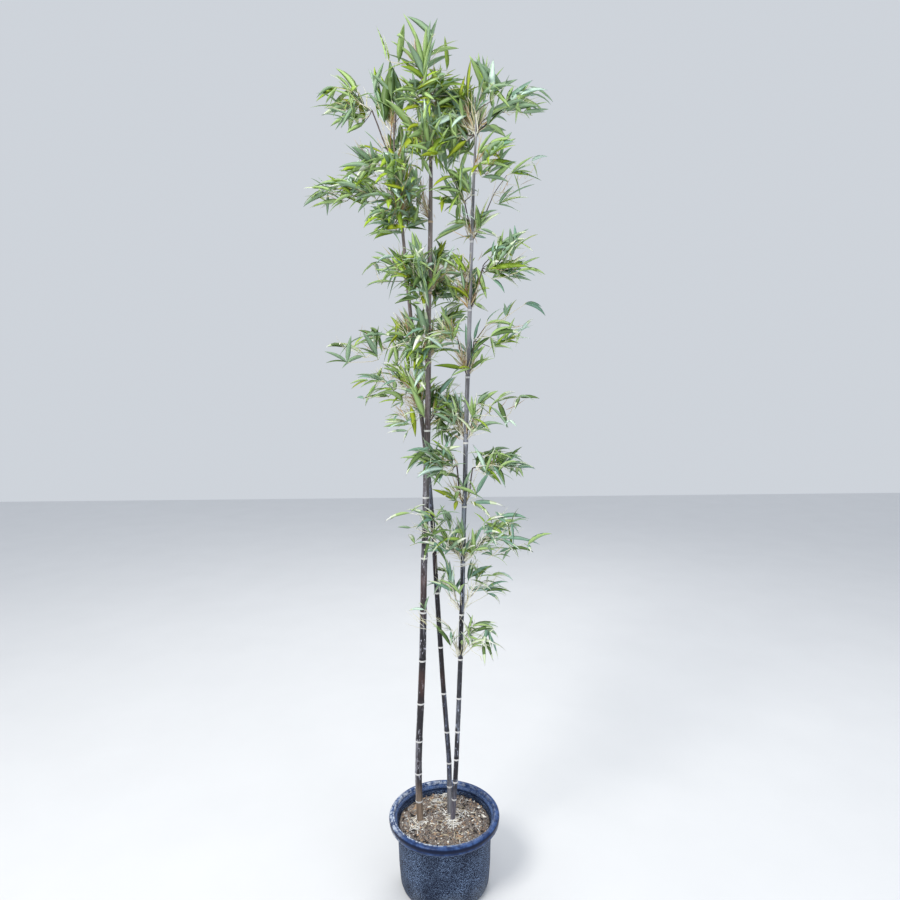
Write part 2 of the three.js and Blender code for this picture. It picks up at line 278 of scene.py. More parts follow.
def cane_finish(name, looks, cane):
    """Cane skin: near black, clouded with rust, under long streaks and flecks of grey bloom. Each of the
    cane's internodes, from the lowest up, has its own shares of bloom and rust in `sections`, and the
    last pair goes for all above. It pales to `high` towards the top and is weathered below foot_top.

    Bloom and rust each lie where a noise plus the internode's share is high enough. Bloom is cut up by
    streaks, stains and blotches, and rust by stains."""
    skin, rust, bloom, foot = looks["skin"], looks["rust"], looks["bloom"], looks["foot"]
    made = Finish(name, skin, 0.38, 0.32)
    streaks = made.noise(120.0, (1, 1, 0.05), 6.0, 0.65)
    clouds = made.noise(11.0, (1, 1, 0.45), 4.0)
    patches = made.noise(7.0, (1, 1, 0.8), 3.0)
    stains = made.band(made.noise(26.0, (1, 1, 0.32), 5.0, 0.72), 0.43, 0.58)
    blotches = made.band(made.noise(52.0, (1, 1, 0.45), 4.0, 0.7), 0.44, 0.56)
    flecks = made.band(made.noise(170.0, (1, 1, 0.4), 5.0, 0.7), 0.58, 0.66)
    clean = made.graded(stains, 1.0, -0.62)
    height = made.along("Z")
    edges = [cane.levels[0], *cane.joints]
    blooms, rusts = [], []
    for low, (bloom_share, _) in zip(edges, looks["sections"]):
        blooms.append((low, bloom_share))
    for low, high, (_, rust_share) in zip(edges, edges[1:], looks["sections"]):
        rusts += [(low, JOINT_RUST * rust_share), ((low + high) / 2, rust_share)]
    cover = made.ramp(height, blooms, "CONSTANT")
    red = made.ramp(height, rusts, "EASE")
    level = made.plus(made.times(clouds, 0.5), made.times(cover, 0.9))
    thick = made.band(level, 0.28, 0.95)
    dusted = made.times(made.band(streaks, 0.41, 0.60), thick, clean, made.graded(blotches, 0.45, 0.55))
    level = made.plus(made.times(patches, 0.6), made.times(red, 0.8))
    reddened = made.times(made.band(level, 0.30, 0.95), clean)
    colour = made.mix(dusted, made.mix(reddened, skin, rust), bloom)
    colour = made.mix(made.times(flecks, made.graded(cover, 0.30, 0.75)), colour, dimmed(bloom, 2.0))
    paling = made.times(made.band(height, *PALING), made.band(streaks, 0.20, 0.62), 0.9)
    colour = made.mix(paling, colour, looks["high"])
    low = made.plus(height, made.times(clouds, 0.05))
    weathered = made.band(low, *(looks["foot_top"] + fade for fade in FOOT_FADE))
    worn = made.mix(made.band(streaks, 0.35, 0.68), dimmed(foot, 0.5), foot)
    made.colour(made.mix(weathered, colour, worn))
    made.roughness(made.graded(dusted, 0.32, 0.32))
    made.bump(streaks, 0.45 * MM, 0.6)
    return made.material


RIM_FOOT = 0.199  # the height of the rim's lower edge
PLASTIC = {
    "body": (0.001, 0.004, 0.019),
    "dust": (0.250, 0.360, 0.58),
    "splash": (0.19, 0.19, 0.18),
    "rim_dark": (0.012, 0.032, 0.110),
    "rim_light": (0.058, 0.120, 0.310),
    "rim_edge": (0.003, 0.008, 0.032),
    "inner_dust": (0.20, 0.27, 0.40),
    "ledge_dust": (0.17, 0.21, 0.27),
    "scuff": (0.56, 0.63, 0.74),
}


def pot_finish():
    """Dark blue-black moulded plastic: the body speckled with dust and splashed near the ground, the rim
    bluer and smoother, clouded paler as a painted sheen and darkened along its outer edge as painted
    shade, with pale scuffing along the inner lip that is brighter on the lit left as a painted highlight,
    and on the left a painted highlight along the rim's top. Each mark lies in a band of radius or height,
    and is cut up by a noise."""
    made = Finish("dusty_dark_plastic", (0.012, 0.02, 0.04), 0.5, 0.18)
    height, radius, side = made.along("Z"), made.radius(), made.along("X")
    on_rim = made.band(height, RIM_FOOT - 1.5 * MM, RIM_FOOT + 1 * MM)
    specks = made.band(made.noise(480.0, (1, 1, 0.75), 5.0, 0.75), 0.512, 0.566)
    patches = made.band(made.noise(14.0, (1, 1, 0.6), 4.0), 0.30, 0.75)
    dust = made.times(specks, made.graded(patches, 0.30, 0.7))
    body = made.mix(dust, PLASTIC["body"], PLASTIC["dust"])
    splash = made.times(patches, 0.4, made.band(height, 0.08, 0.0))
    body = made.mix(splash, body, PLASTIC["splash"])

    # The rim's navy is clouded with a paler blue: a painted sheen that stands in for the gloss highlight
    # on the rim.
    painted_sheen_clouds = made.band(made.noise(60.0, detail=5.0), 0.35, 0.75)
    top = made.mix(painted_sheen_clouds, PLASTIC["rim_dark"], PLASTIC["rim_light"])
    # Painted shade: the rim's outer edge and face are darkened to near black below its lit top.
    top = made.mix(made.band(radius, 0.1655, 0.1680), top, PLASTIC["rim_edge"])
    inner = made.times(made.band(radius, 0.1510, 0.1490), specks, 0.75)
    top = made.mix(inner, top, PLASTIC["inner_dust"])
    ledge = made.times(made.band(height, 0.2022, 0.1995), made.band(radius, 0.160, 0.164), 0.6)
    top = made.mix(ledge, top, PLASTIC["ledge_dust"])
    colour = made.mix(on_rim, body, top)

    # Pale scuffing along the inner lip is real wear. A side mask makes it brighter on the left, lit side,
    # which is a painted highlight.
    scuff_and_glint_noise = made.band(made.noise(85.0, detail=6.0, roughness=0.75), 0.42, 0.60)
    lip = made.times(made.band(radius, 0.1585, 0.1550), made.band(radius, 0.1495, 0.1515))
    scuff_and_highlight_share = made.times(lip, scuff_and_glint_noise, made.plus(made.band(side, 0.12, -0.12), 0.25))
    # Painted highlight: a pale streak along the rim's top on the left, where the rounded edge catches the
    # light, broken up by the same noise.
    edge = made.times(made.band(radius, 0.1575, 0.1595), made.band(radius, 0.1678, 0.1660))
    worn = made.times(made.band(side, -0.11, -0.15), edge, made.band(scuff_and_glint_noise, 0.0, 0.5), 0.75)
    scuff_and_highlight_share = made.maths("MAXIMUM", scuff_and_highlight_share, worn)
    made.colour(made.mix(made.times(scuff_and_highlight_share, on_rim), colour, PLASTIC["scuff"]))
    made.roughness(made.plus(made.graded(on_rim, 0.58, -0.26), made.times(dust, 0.2)))
    made.bump(made.noise(420.0, detail=4.0), 0.35 * MM, 0.35)
    return made.material


def mix_finish():
    """Potting mix: grains that run from dark to light brown with a noise, under grey patches and pale
    grit, each where its own noise is high."""
    made = Finish("bark_mix", (0.15, 0.11, 0.08), 0.95)
    grain = made.noise(230.0, detail=7.0, roughness=0.72)
    other = made.noise(95.0, detail=5.0, roughness=0.6)
    grit = made.noise(380.0, detail=3.0)
    colour = made.mix(made.band(grain, 0.34, 0.66), (0.032, 0.026, 0.024), (0.31, 0.260, 0.230))
    colour = made.mix(made.band(other, 0.52, 0.66), colour, (0.22, 0.20, 0.19))
    made.colour(made.mix(made.band(grit, 0.66, 0.74), colour, (0.66, 0.62, 0.54)))
    made.bump(made.plus(grain, other), 1.6 * MM, 0.8)
    return made.material


def crumb_finish(name, colour):
    """A crumb of bark or grit: rough-grained."""
    made = Finish(name, colour, 0.92)
    made.bump(made.noise(600.0, detail=4.0), 0.8 * MM, 0.7)
    return made.material


def finishes_of(make, colours):
    """A finish of one kind for each named colour."""
    return [make(name, colour) for name, colour in colours.items()]


def floor_finish():
    """A pale floor, faintly clouded."""
    made = Finish("pale_floor", (0.74, 0.75, 0.77), 0.85)
    made.colour(made.mix(made.noise(3.0), (0.72, 0.73, 0.75), (0.77, 0.78, 0.80)))
    return made.material


# ---------------------------------------------------------------- mesh making


def add_piece(name, points, faces, finishes, face_slots=None, smooth=True, uv=None, replaces=()):
    """A mesh object from points (n, 3) and a list of face arrays (m, corners), one finish for each
    face in face_slots, riding on the one body."""
    mesh = bpy.data.meshes.new(name)
    corners = np.concatenate([part.ravel() for part in faces]).astype(np.int32)
    sizes = np.concatenate([np.full(len(part), part.shape[1]) for part in faces])
    starts = np.concatenate([[0], np.cumsum(sizes)[:-1]]).astype(np.int32)
    mesh.vertices.add(len(points))
    mesh.vertices.foreach_set("co", np.ascontiguousarray(points, np.float32).ravel())
    mesh.loops.add(len(corners))
    mesh.loops.foreach_set("vertex_index", corners)
    mesh.polygons.add(len(sizes))
    mesh.polygons.foreach_set("loop_start", starts)
    for finish in finishes:
        mesh.materials.append(finish)
    if face_slots is not None:
        mesh.polygons.foreach_set("material_index", np.ascontiguousarray(face_slots, np.int32))
    mesh.polygons.foreach_set("use_smooth", np.full(len(sizes), smooth))
    if uv is not None:
        layer = mesh.uv_layers.new(name="blade")
        layer.data.foreach_set("uv", np.ascontiguousarray(uv[corners], np.float32).ravel())
    mesh.update(calc_edges=True)
    mesh.validate()
    piece = bpy.data.objects.new(name, mesh)
    bpy.context.scene.collection.objects.link(piece)
    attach(piece, "root")
    if replaces:
        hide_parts(*replaces)


def read_node(name):
    """A CAD node's points and triangles."""
    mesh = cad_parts[name].data
    points = np.empty(len(mesh.vertices) * 3, np.float32)
    mesh.vertices.foreach_get("co", points)
    mesh.calc_loop_triangles()
    triangles = np.empty(len(mesh.loop_triangles) * 3, np.int32)
    mesh.loop_triangles.foreach_get("vertices", triangles)
    return points.reshape(-1, 3).astype(float), triangles.reshape(-1, 3)


def unit(vectors):
    """Each vector at length 1."""
    return vectors / np.maximum(np.linalg.norm(vectors, axis=-1, keepdims=True), 1e-12)


def square_to(vectors, lines):
    """What is left of each vector at right angles to its line, at length 1."""
    return unit(vectors - np.sum(vectors * lines, axis=-1, keepdims=True) * lines)


def columns(rows, *widths):
    """Rows of numbers as arrays, one for each width: (n, 3) for a point or a way, (n,) for a number."""
    parts = np.split(np.array(rows), np.cumsum(widths)[:-1], axis=1)
    return [part[:, 0] if width == 1 else part for part, width in zip(parts, widths)]


def hermite(share, start, start_slope, end, end_slope):
    """The cubic from start to end that leaves and arrives with those slopes."""
    return (
        (2 * share**3 - 3 * share**2 + 1) * start
        + (share**3 - 2 * share**2 + share) * start_slope
        + (-2 * share**3 + 3 * share**2) * end
        + (share**3 - share**2) * end_slope
    )


def hermite_way(share, start, start_slope, end, end_slope):
    """The direction of that cubic, at length 1."""
    return unit(
        (6 * share**2 - 6 * share) * (start - end)
        + (3 * share**2 - 4 * share + 1) * start_slope
        + (3 * share**2 - 2 * share) * end_slope
    )


def tube_faces(rings, sides):
    """Faces of a closed tube whose points are rings * sides and then a first and a last pole."""
    ring = np.arange(rings - 1)[:, None] * sides
    side = np.arange(sides)[None, :]
    following = (side + 1) % sides
    wall = np.stack([ring + side, ring + following, ring + sides + following, ring + sides + side], -1)
    first, last = rings * sides, rings * sides + 1
    side, following = side[0], following[0]
    top = (rings - 1) * sides
    foot_cap = np.stack([np.full(sides, first), following, side], -1)
    head_cap = np.stack([np.full(sides, last), top + side, top + following], -1)
    return wall.reshape(-1, 4), np.concatenate([foot_cap, head_cap])


def repeat_faces(faces, copies, points_each):
    """The same faces for each of many copies that follow each other in the points."""
    shift = np.arange(copies)[:, None, None] * points_each
    return (faces[None] + shift).reshape(-1, faces.shape[1])


def turned_points(profile, segments, wobble=None):
    """A closed round body: the half-section profile (n, 2) of radius and height, with poles at its first
    and last points, carried round the Z axis."""
    angle = np.linspace(0, 2 * math.pi, segments, endpoint=False)
    radius, height = profile[1:-1, 0:1], profile[1:-1, 1:2]
    rings = np.stack([radius * np.cos(angle), radius * np.sin(angle), height + 0 * angle], -1)
    if wobble is not None:
        rings = wobble(rings)
    poles = np.array([[0, 0, profile[0, 1]], [0, 0, profile[-1, 1]]])
    return np.concatenate([rings.reshape(-1, 3), poles])


TWIG_RINGS, TWIG_SIDES = 5, 5


def twig_points(start, end, start_way, end_way, start_radius, end_radius):
    """Twigs as tubes: a Hermite curve from start to end with those directions, ringed by circles that
    shrink evenly from one radius to the other. Returns points (twigs, rings * sides + 2, 3)."""
    share = np.linspace(0, 1, TWIG_RINGS)[None, :, None]
    span = np.linalg.norm(end - start, axis=1)[:, None, None]
    curve = (start[:, None], start_way[:, None] * span, end[:, None], end_way[:, None] * span)
    line, way = hermite(share, *curve), hermite_way(share, *curve)
    steep = np.abs(unit(end - start)[:, 2:3]) > 0.8
    helper = np.where(steep, np.array([[1.0, 0, 0]]), UP[None])
    across = square_to(np.broadcast_to(helper[:, None], way.shape), way)
    other = np.cross(way, across)
    angle = np.linspace(0, 2 * math.pi, TWIG_SIDES, endpoint=False)[None, None, :, None]
    radius = start_radius[:, None] * (1 - share[..., 0]) + end_radius[:, None] * share[..., 0]
    circle = np.cos(angle) * across[:, :, None] + np.sin(angle) * other[:, :, None]
    ringed = line[:, :, None] + radius[..., None, None] * circle
    return np.concatenate([ringed.reshape(len(start), -1, 3), line[:, :1], line[:, -1:]], axis=1)


# The shares along a blade at which it has a section, apart from its two ends.
BLADE_STATIONS = np.array([0.02, 0.07, 0.17, 0.32, 0.52, 0.72, 0.88])
BLADE_SIDES = 4
BLADE_STALK = 0.05  # the share of a blade that is its stalk
BLADE_BLUNTNESS = 0.85
BLADE_THICKNESS = (0.16 * MM, 0.02)  # at the edge, and what each unit of half-width adds


def blade_points(foot, way, rise, face, length, width, bend, twist, fold, belly=0.62, stalk=0.16):
    """Leaf blades as thin closed shells. Along its chord `way` a blade follows an arc that turns by
    `bend` and bulges towards `rise`. Its half-width is stalk-thin at the foot, then follows a power of
    the sine of pi * share**belly and runs out to a point. Its section is a flat lens, folded up along
    the midrib by `fold` and turned by `twist` towards the tip. Returns points (blades, stations * 4 + 2,
    3)."""
    share = np.concatenate([[0.0], BLADE_STATIONS, [1.0]])[None, :, None]
    bend, length = bend[:, None, None], length[:, None, None]
    turn = bend * (share - 0.5)
    along = (np.sin(turn) + np.sin(bend / 2)) / (2 * np.sin(bend / 2))
    bulge = (np.cos(turn) - np.cos(bend / 2)) / (2 * np.sin(bend / 2))
    line = foot[:, None] + length * (along * way[:, None] + bulge * rise[:, None])
    forward = unit(np.cos(turn) * way[:, None] - np.sin(turn) * rise[:, None])
    normal = square_to(np.broadcast_to(face[:, None], forward.shape), forward)
    side = np.cross(forward, normal)
    turned = twist[:, None, None] * share
    side, normal = (
        np.cos(turned) * side + np.sin(turned) * normal,
        np.cos(turned) * normal - np.sin(turned) * side,
    )
    inner = np.clip((share - BLADE_STALK) / (1 - BLADE_STALK), 0, 1)
    stem = np.where(share < BLADE_STALK + 0.01, stalk, 0.0)
    outline = np.maximum(np.sin(math.pi * inner**belly) ** BLADE_BLUNTNESS, stem)
    half = width[:, None, None] / 2 * outline
    lift = fold[:, None, None]
    thick = BLADE_THICKNESS[0] + BLADE_THICKNESS[1] * half
    left = line + half * (-np.cos(lift) * side + np.sin(lift) * normal)
    right = line + half * (np.cos(lift) * side + np.sin(lift) * normal)
    over, under = line + thick * normal, line - thick * normal
    rings = np.stack([left, over, right, under], axis=2)[:, 1:-1]
    return np.concatenate([rings.reshape(len(foot), -1, 3), line[:, :1], line[:, -1:]], axis=1)


def blade_faces():
    """Faces of one blade's wall and of its two caps. A section runs left edge, upper midrib, right edge,
    lower midrib."""
    wall, caps = tube_faces(len(BLADE_STATIONS), BLADE_SIDES)
    return wall[:, ::-1], caps[:, ::-1]


def blade_marks():
    """For each face of a blade, wall and then caps: 1 on its upper side, its share along the blade, and
    1 on its right half."""
    sections = len(BLADE_STATIONS) + 1
    middles = (BLADE_STATIONS[:-1] + BLADE_STATIONS[1:]) / 2
    upper = np.tile([1, 1, 0, 0], sections)
    share = np.repeat([*middles, 0.0, 1.0], BLADE_SIDES)
    right = np.tile([0, 1, 1, 0], sections)
    return upper, share, right


def blade_uv():
    """Each blade point's place on the blade: across from 0 to 1, along from 0 to 1."""
    across = np.tile([0.0, 0.5, 1.0, 0.5], len(BLADE_STATIONS))
    rings = np.stack([across, np.repeat(BLADE_STATIONS, BLADE_SIDES)], -1)
    return np.concatenate([rings, [[0.5, 0.0], [0.5, 1.0]]])


def add_blades(name, points, finishes, wall_slots, cap_slots, replaces=()):
    """Blades (blades, points each, 3) joined in one mesh, with a finish for each blade's every face."""
    count, each = points.shape[:2]
    faces = [repeat_faces(part, count, each) for part in blade_faces()]
    face_slots = np.concatenate([wall_slots.ravel(), cap_slots.ravel()])
    uv = np.tile(blade_uv(), (count, 1))
    add_piece(name, points.reshape(-1, 3), faces, finishes, face_slots, uv=uv, replaces=replaces)


# ---------------------------------------------------------------- canes

CANE_SIDES = 24
CANE_STEP = 9 * MM
# A joint's relief: [height over the joint, bulge] in mm, on a cane 20 mm across: the powdery ring, the
# flared scar of the fallen sheath, a groove and the ridge above it.
JOINT_RELIEF = [
    [-9.0, 0.0], [-6.0, 0.12], [-4.6, 0.25], [-4.4, 0.3], [-2.4, 0.45], [-0.9, 1.15], [0.0, 1.3],
    [0.8, 0.75], [1.9, 0.2], [3.2, 0.6], [4.6, 0.65], [6.6, 0.3], [10.0, 0.0],
]
RELIEF_REACH = 10.5 * MM
POWDER_BAND = (-4.5, 0.9)
ROOTED_DEPTH = 9 * MM  # how far a cane goes on below the top of the mix
GROOVED_FROM = 6  # the joint above which each internode has a groove over its branch
GROOVE_DEPTH, GROOVE_WIDTH = 0.16, 0.5  # in shares of the radius, and in radians
SCARRED_FROM = 1.45  # the height from which the joints' bands are dull scars


class Cane:
    """A culm's centre line, radius and joints, read from the rings of its CAD node. Its joints show
    `rise` above their rings."""

    def __init__(self, node, rise):
        points = np.unique(np.round(read_node(node)[0], 6), axis=0)
        levels = np.unique(np.round(points[:, 2], 4))
        self.node = node
        self.levels = levels
        self.centres = np.empty((len(levels), 3))
        self.radii = np.empty(len(levels))
        for i, level in enumerate(levels):
            ring = points[np.abs(points[:, 2] - level) < 0.5 * MM]
            self.centres[i] = (ring.min(0) + ring.max(0)) / 2
            self.radii[i] = np.linalg.norm(ring - self.centres[i], axis=1).max()
        self.joints = levels[1:-1] + rise
        self.slopes = np.gradient(self.centres, levels, axis=0)

    def line(self, height):
        """The centre at any height: a cubic through the rings."""
        height = np.asarray(height, float)
        index = np.clip(np.searchsorted(self.levels, height) - 1, 0, len(self.levels) - 2)
        low, high = self.levels[index], self.levels[index + 1]
        span = (high - low)[..., None]
        share = np.clip((height - low) / (high - low), -0.2, 1.0)[..., None]
        slope, next_slope = span * self.slopes[index], span * self.slopes[index + 1]
        return hermite(share, self.centres[index], slope, self.centres[index + 1], next_slope)

    def radius(self, height):
        """The radius at any height: straight lines through the rings."""
        return np.interp(height, self.levels, self.radii)

    def joint(self, number):
        """The centre of a joint, counted from 1 at the lowest."""
        return self.line(self.joints[number - 1])


def make_cane(cane, name, skin, powder, scar):
    """The cane's skin as a tube with a ring every step. Its radius is the culm's, plus the relief of the
    nearest joint, less a groove that follows a bell curve across and half a sine along each internode,
    on alternate sides, plus two faint sine ripples. The band of each joint is powdery white low down,
    and from SCARRED_FROM up it is a duller scar."""
    relief = np.array(JOINT_RELIEF) * MM
    plain = np.arange(cane.levels[0] - ROOTED_DEPTH, cane.levels[-1], CANE_STEP)
    gap = np.abs(plain[:, None] - cane.joints[None]).min(1)
    near = (cane.joints[:, None] + relief[None, :, 0]).ravel()
    heights = np.unique(np.concatenate([plain[gap > RELIEF_REACH], near, [cane.levels[-1]]]))
    centre = cane.line(heights)
    centre[:, 2] = heights
    radius = cane.radius(heights)
    over = heights[:, None] - cane.joints[None]
    bulge = np.interp(over, relief[:, 0], relief[:, 1], left=0, right=0).sum(1)
    radius = radius + bulge * (0.35 + 0.65 * radius / (10 * MM))

    angle = np.linspace(0, 2 * math.pi, CANE_SIDES, endpoint=False)
    number = np.searchsorted(cane.joints, heights)
    floor_of = np.concatenate([[cane.levels[0]], cane.joints])[number]
    ceiling_of = np.concatenate([cane.joints, [cane.levels[-1]]])[number]
    inside = np.clip((heights - floor_of) / (ceiling_of - floor_of), 0, 1)
    depth = np.where(number >= GROOVED_FROM, GROOVE_DEPTH, 0.0)
    depth = depth * np.sin(math.pi * inside) ** 0.6 * (1 - 0.4 * inside)
    turn = angle[None] - (number[:, None] * math.pi + 0.35 * np.sin(number[:, None] * 2.1))
    bell = np.exp(-((np.arctan2(np.sin(turn), np.cos(turn)) / GROOVE_WIDTH) ** 2))
    ripple = 0.012 * np.sin(3 * angle[None] + heights[:, None] * 37) + 0.01 * np.sin(heights[:, None] * 61)
    spread = radius[:, None] * (1 - depth[:, None] * bell + ripple)
    circles = np.stack([spread * np.cos(angle), spread * np.sin(angle), np.zeros_like(spread)], -1)
    rings = (centre[:, None] + circles).reshape(-1, 3)
    points = np.concatenate([rings, centre[:1], centre[-1:] + [[0, 0, 1.5 * MM]]])

    wall, caps = tube_faces(len(heights), CANE_SIDES)
    middle = (heights[:-1] + heights[1:]) / 2
    over = (middle[:, None] - cane.joints[None]) / MM
    banded = ((over > POWDER_BAND[0]) & (over < POWDER_BAND[1])).any(1)
    which = banded * np.where(middle > SCARRED_FROM, 2, 1)
    slots = np.concatenate([np.repeat(which, CANE_SIDES), np.zeros(len(caps), int)])
    add_piece(name, points, [wall, caps], [skin, powder, scar], slots, replaces=[cane.node])


# ---------------------------------------------------------------- twigs, sheaths and leaves

LEAF = {
    "length": 0.088,
    "top_length": 0.104,
    "spread": 0.016,
    "shortest": 0.046,
    "longest": 0.150,
    "slimness": 0.192,
    "narrowest": 9 * MM,
}
CROWN_TOP = (1.7, 2.3)  # leaves grow longer between these heights
LEAF_SHOWN = 0.55 * 0.66 * LEAF["slimness"] * LEAF["length"] ** 2  # what one leaf hides, on average
COVER = 2.3  # leaves in a mass, as a share of what would hide it once
FEWEST_LEAVES = 5
SPRAY_LEAVES = 4.3  # how many of a mass's leaves go to one spray
SPARE = 34 * MM  # how far a leaf's tip may reach out of its mass
BOX_SPARE = 8 * MM
BOX_LOW, BOX_HIGH = np.array(CAD_BOX[0]) - BOX_SPARE, np.array(CAD_BOX[1]) + BOX_SPARE
DEEP_ENOUGH = 8 * MM  # how deep inside their mass sprays start, where it is thick enough
PROBE = Vector((0.31, 0.52, 0.79)).normalized()
CLOUD = 1500  # the random points among which a mass's sprays find their places
TIP_MARGIN = 0.062  # sprays start at least so far from their mass's tip
THINNING = 1.6  # how much farther apart the sprays are at the tip
# How full each mass grows beside the rest.
FULLNESS = {
    0.20: ["slender_6_left", "thick_12_left", "leaning_13_right"],
    0.30: ["thick_15_top", "slender_13_right"],
    0.45: ["leaning_10_left", "slender_10_right"],
    0.60: ["slender_11_right", "leaning_11_left"],
    0.70: ["leaning_9_left"],
    0.80: [
        "thick_13_back", "slender_8_right", "slender_12_left", "slender_15_top", "slender_15_right",
        "slender_8_left", "leaning_9_upper_left", "slender_7_left", "slender_11_left",
    ],
    1.20: [
        "slender_13_left", "slender_12_right", "thick_10_front", "leaning_13_left",
        "leaning_12_upper_left", "thick_9_right", "slender_9_right", "slender_7_right",
    ],
    1.60: ["leaning_12_front", "thick_13_front", "thick_10_right", "leaning_12_far_left"],
    2.20: ["thick_11_left", "slender_10_left", "slender_9_left", "leaning_12_left"],
    3.00: ["thick_11_right", "thick_14_right", "slender_15_left"],
}
# How many papery sheaths stand at a mass's foot where there are more than usual.
SHEATHS = {
    "leaning_9_left": 46, "leaning_9_upper_left": 30, "thick_13_front": 34, "leaning_12_left": 34,
    "leaning_12_front": 34, "slender_10_left": 34, "slender_15_left": 28, "slender_12_left": 40,
    "thick_12_left": 30, "thick_14_right": 24, "thick_11_right": 40, "thick_10_right": 28,
    "slender_11_left": 28, "leaning_12_upper_left": 26, "slender_9_left": 20, "slender_8_left": 24,
    "slender_8_right": 18,
}
USUAL_SHEATHS = {"thick": 15, "leaning": 15, "slender": 10}
TORN_SHARE = 1.6  # torn strips of sheath for each sheath at the foot
TWIG_RADIUS = 0.62 * MM
TWIG_SWELL = 0.42  # the power by which a twig thickens with the sprays that it carries
BOUGH_RADII = (2.5 * MM, 1.3 * MM)
STALK = {"length": 0.019, "radius": 0.85 * MM}
TOP_LEAF = 1.30  # how much longer the leaves at a cane's very top are
CLOSE_SPRAYS = 3  # sprays that stand close round the cane at each joint
CLOSE_REACH = (22 * MM, 60 * MM)
SPARSE = 0.25  # a mass no fuller than this has a single close spray
LEAFY_FROM = 0.95  # at joints lower than this only the first close twig has leaves
DROOP = 0.38  # how much the lowest sprays head downwards
DROOP_FADE = (0.9, 1.9)  # the droop fades out between these heights
ERECT_SHARE = 0.4  # how far out along a mass sprays may stand straight up
ERECT_CHANCE = 0.35  # how many of those there do
TRIES = 7  # the other ways that are tried for each leaf
LEAST_ROOM = 0.72  # a leaf with room for a smaller share of its length is left out
STEEP = 1.25  # how much more a twig climbs than it leaves the cane where it starts


class Mass:
    """A mass of foliage: its skin, its joint on the cane and the line that it grows along."""

    def __init__(self, name, canes):
        _, cane, joint, side = name.split("_", 3)
        own = name.replace("foliage_", "")
        self.fullness = next((share for share, names in FULLNESS.items() if own in names), 1.0)
        self.sheaths = SHEATHS.get(own, USUAL_SHEATHS[cane])
        self.cane = canes["culm_" + cane]
        self.top = side == "top"
        self.points, triangles = read_node(name)
        self.skin = BVHTree.FromPolygons(self.points.tolist(), triangles.tolist())
        corners = self.points[triangles]
        cross = np.cross(corners[:, 1] - corners[:, 0], corners[:, 2] - corners[:, 0])
        self.area = np.linalg.norm(cross, axis=1).sum() / 2
        self.root = self.cane.joint(int(joint))
        self.centre = self.points.mean(0)
        bough = name.replace("foliage_", "bough_")
        self.has_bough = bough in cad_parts
        self.start = self.root
        if self.has_bough:
            limb = read_node(bough)[0]
            far = np.linalg.norm(limb - self.root, axis=1)
            self.start = limb[far > far.max() - 4 * MM].mean(0)
        flat = np.array([1, 1, 0.0 if not self.top else 1.0])
        self.out = unit((self.centre - self.root) * flat)
        along = self.points @ self.out
        self.tip = self.points[along.argmax()]
        self.low, self.high = along.min(), along.max()

    def share(self, places):
        """How far along the mass each place lies, 0 at its near end and 1 at its tip."""
        return np.clip((places @ self.out - self.low) / (self.high - self.low), 0, 1)

    def depth(self, place):
        """How deep a point lies inside the skin, negative outside: it is inside where a probing ray
        leaves the skin through a face's back."""
        place = Vector(place)
        distance = self.skin.find_nearest(place)[3]
        hit, normal, _, _ = self.skin.ray_cast(place, PROBE)
        inside = hit is not None and normal.dot(PROBE) > 0
        return distance if inside else -distance

    def room(self, place, way, most):
        """How far a leaf can run from a place before it is SPARE out of the skin or BOX_SPARE out of the
        whole plant's box."""
        hit = self.skin.ray_cast(Vector(place), Vector(way), most)
        inside = most if hit[0] is None else hit[3] + SPARE
        pace = np.where(np.abs(way) < 1e-6, 1e-6, way)
        walls = np.where(way > 0, BOX_HIGH - place, BOX_LOW - place) / pace
        return min(inside, float(walls.min()))

    def line(self, share):
        """A curve from the start through the middle of the mass towards its tip: a parabola."""
        control = 2 * self.centre - (self.start + self.tip) / 2
        return (1 - share) ** 2 * self.start + 2 * share * (1 - share) * control + share**2 * self.tip


def spray_places(mass, count, rng):
    """The places where a mass's sprays of leaves start: a random cloud well inside its skin and short of
    its tip is thinned to the points that lie farthest apart, farther towards the tip."""
    low, high = mass.points.min(0), mass.points.max(0)
    cloud = rng.uniform(low, high, (CLOUD, 3))
    limit = max(0.5, 1 - TIP_MARGIN / (mass.high - mass.low))
    cloud = cloud[mass.share(cloud) < limit]
    depth = np.array([mass.depth(place) for place in cloud])
    if not (depth > 2 * MM).any():
        return mass.centre[None]
    cloud = cloud[depth > min(DEEP_ENOUGH, 0.25 * depth.max())]
    spacing = 1 + THINNING * mass.share(cloud)
    chosen = [int(np.linalg.norm(cloud - mass.start, axis=1).argmin())]
    gap = np.linalg.norm(cloud - cloud[chosen[0]], axis=1)
    while len(chosen) < min(count, len(cloud)):
        chosen.append(int((gap / spacing).argmax()))
        gap = np.minimum(gap, np.linalg.norm(cloud - cloud[chosen[-1]], axis=1))
    return cloud[chosen]


def grow_tree(mass, places):
    """Joins the places to the start, nearest first: each goes to the earlier place with the shortest
    way to it, plus about half the way from there to the start. Returns the places in that order, after
    the start, and each one's parent."""
    order = np.argsort(np.linalg.norm(places - mass.start, axis=1))
    places = np.concatenate([mass.start[None], places[order]])
    parents = np.zeros(len(places), int)
    travelled = np.zeros(len(places))
    for i in range(1, len(places)):
        steps = np.linalg.norm(places[:i] - places[i], axis=1)
        parents[i] = int((steps + 0.55 * travelled[:i]).argmin())
        travelled[i] = travelled[parents[i]] + steps[parents[i]]
    return places, parents


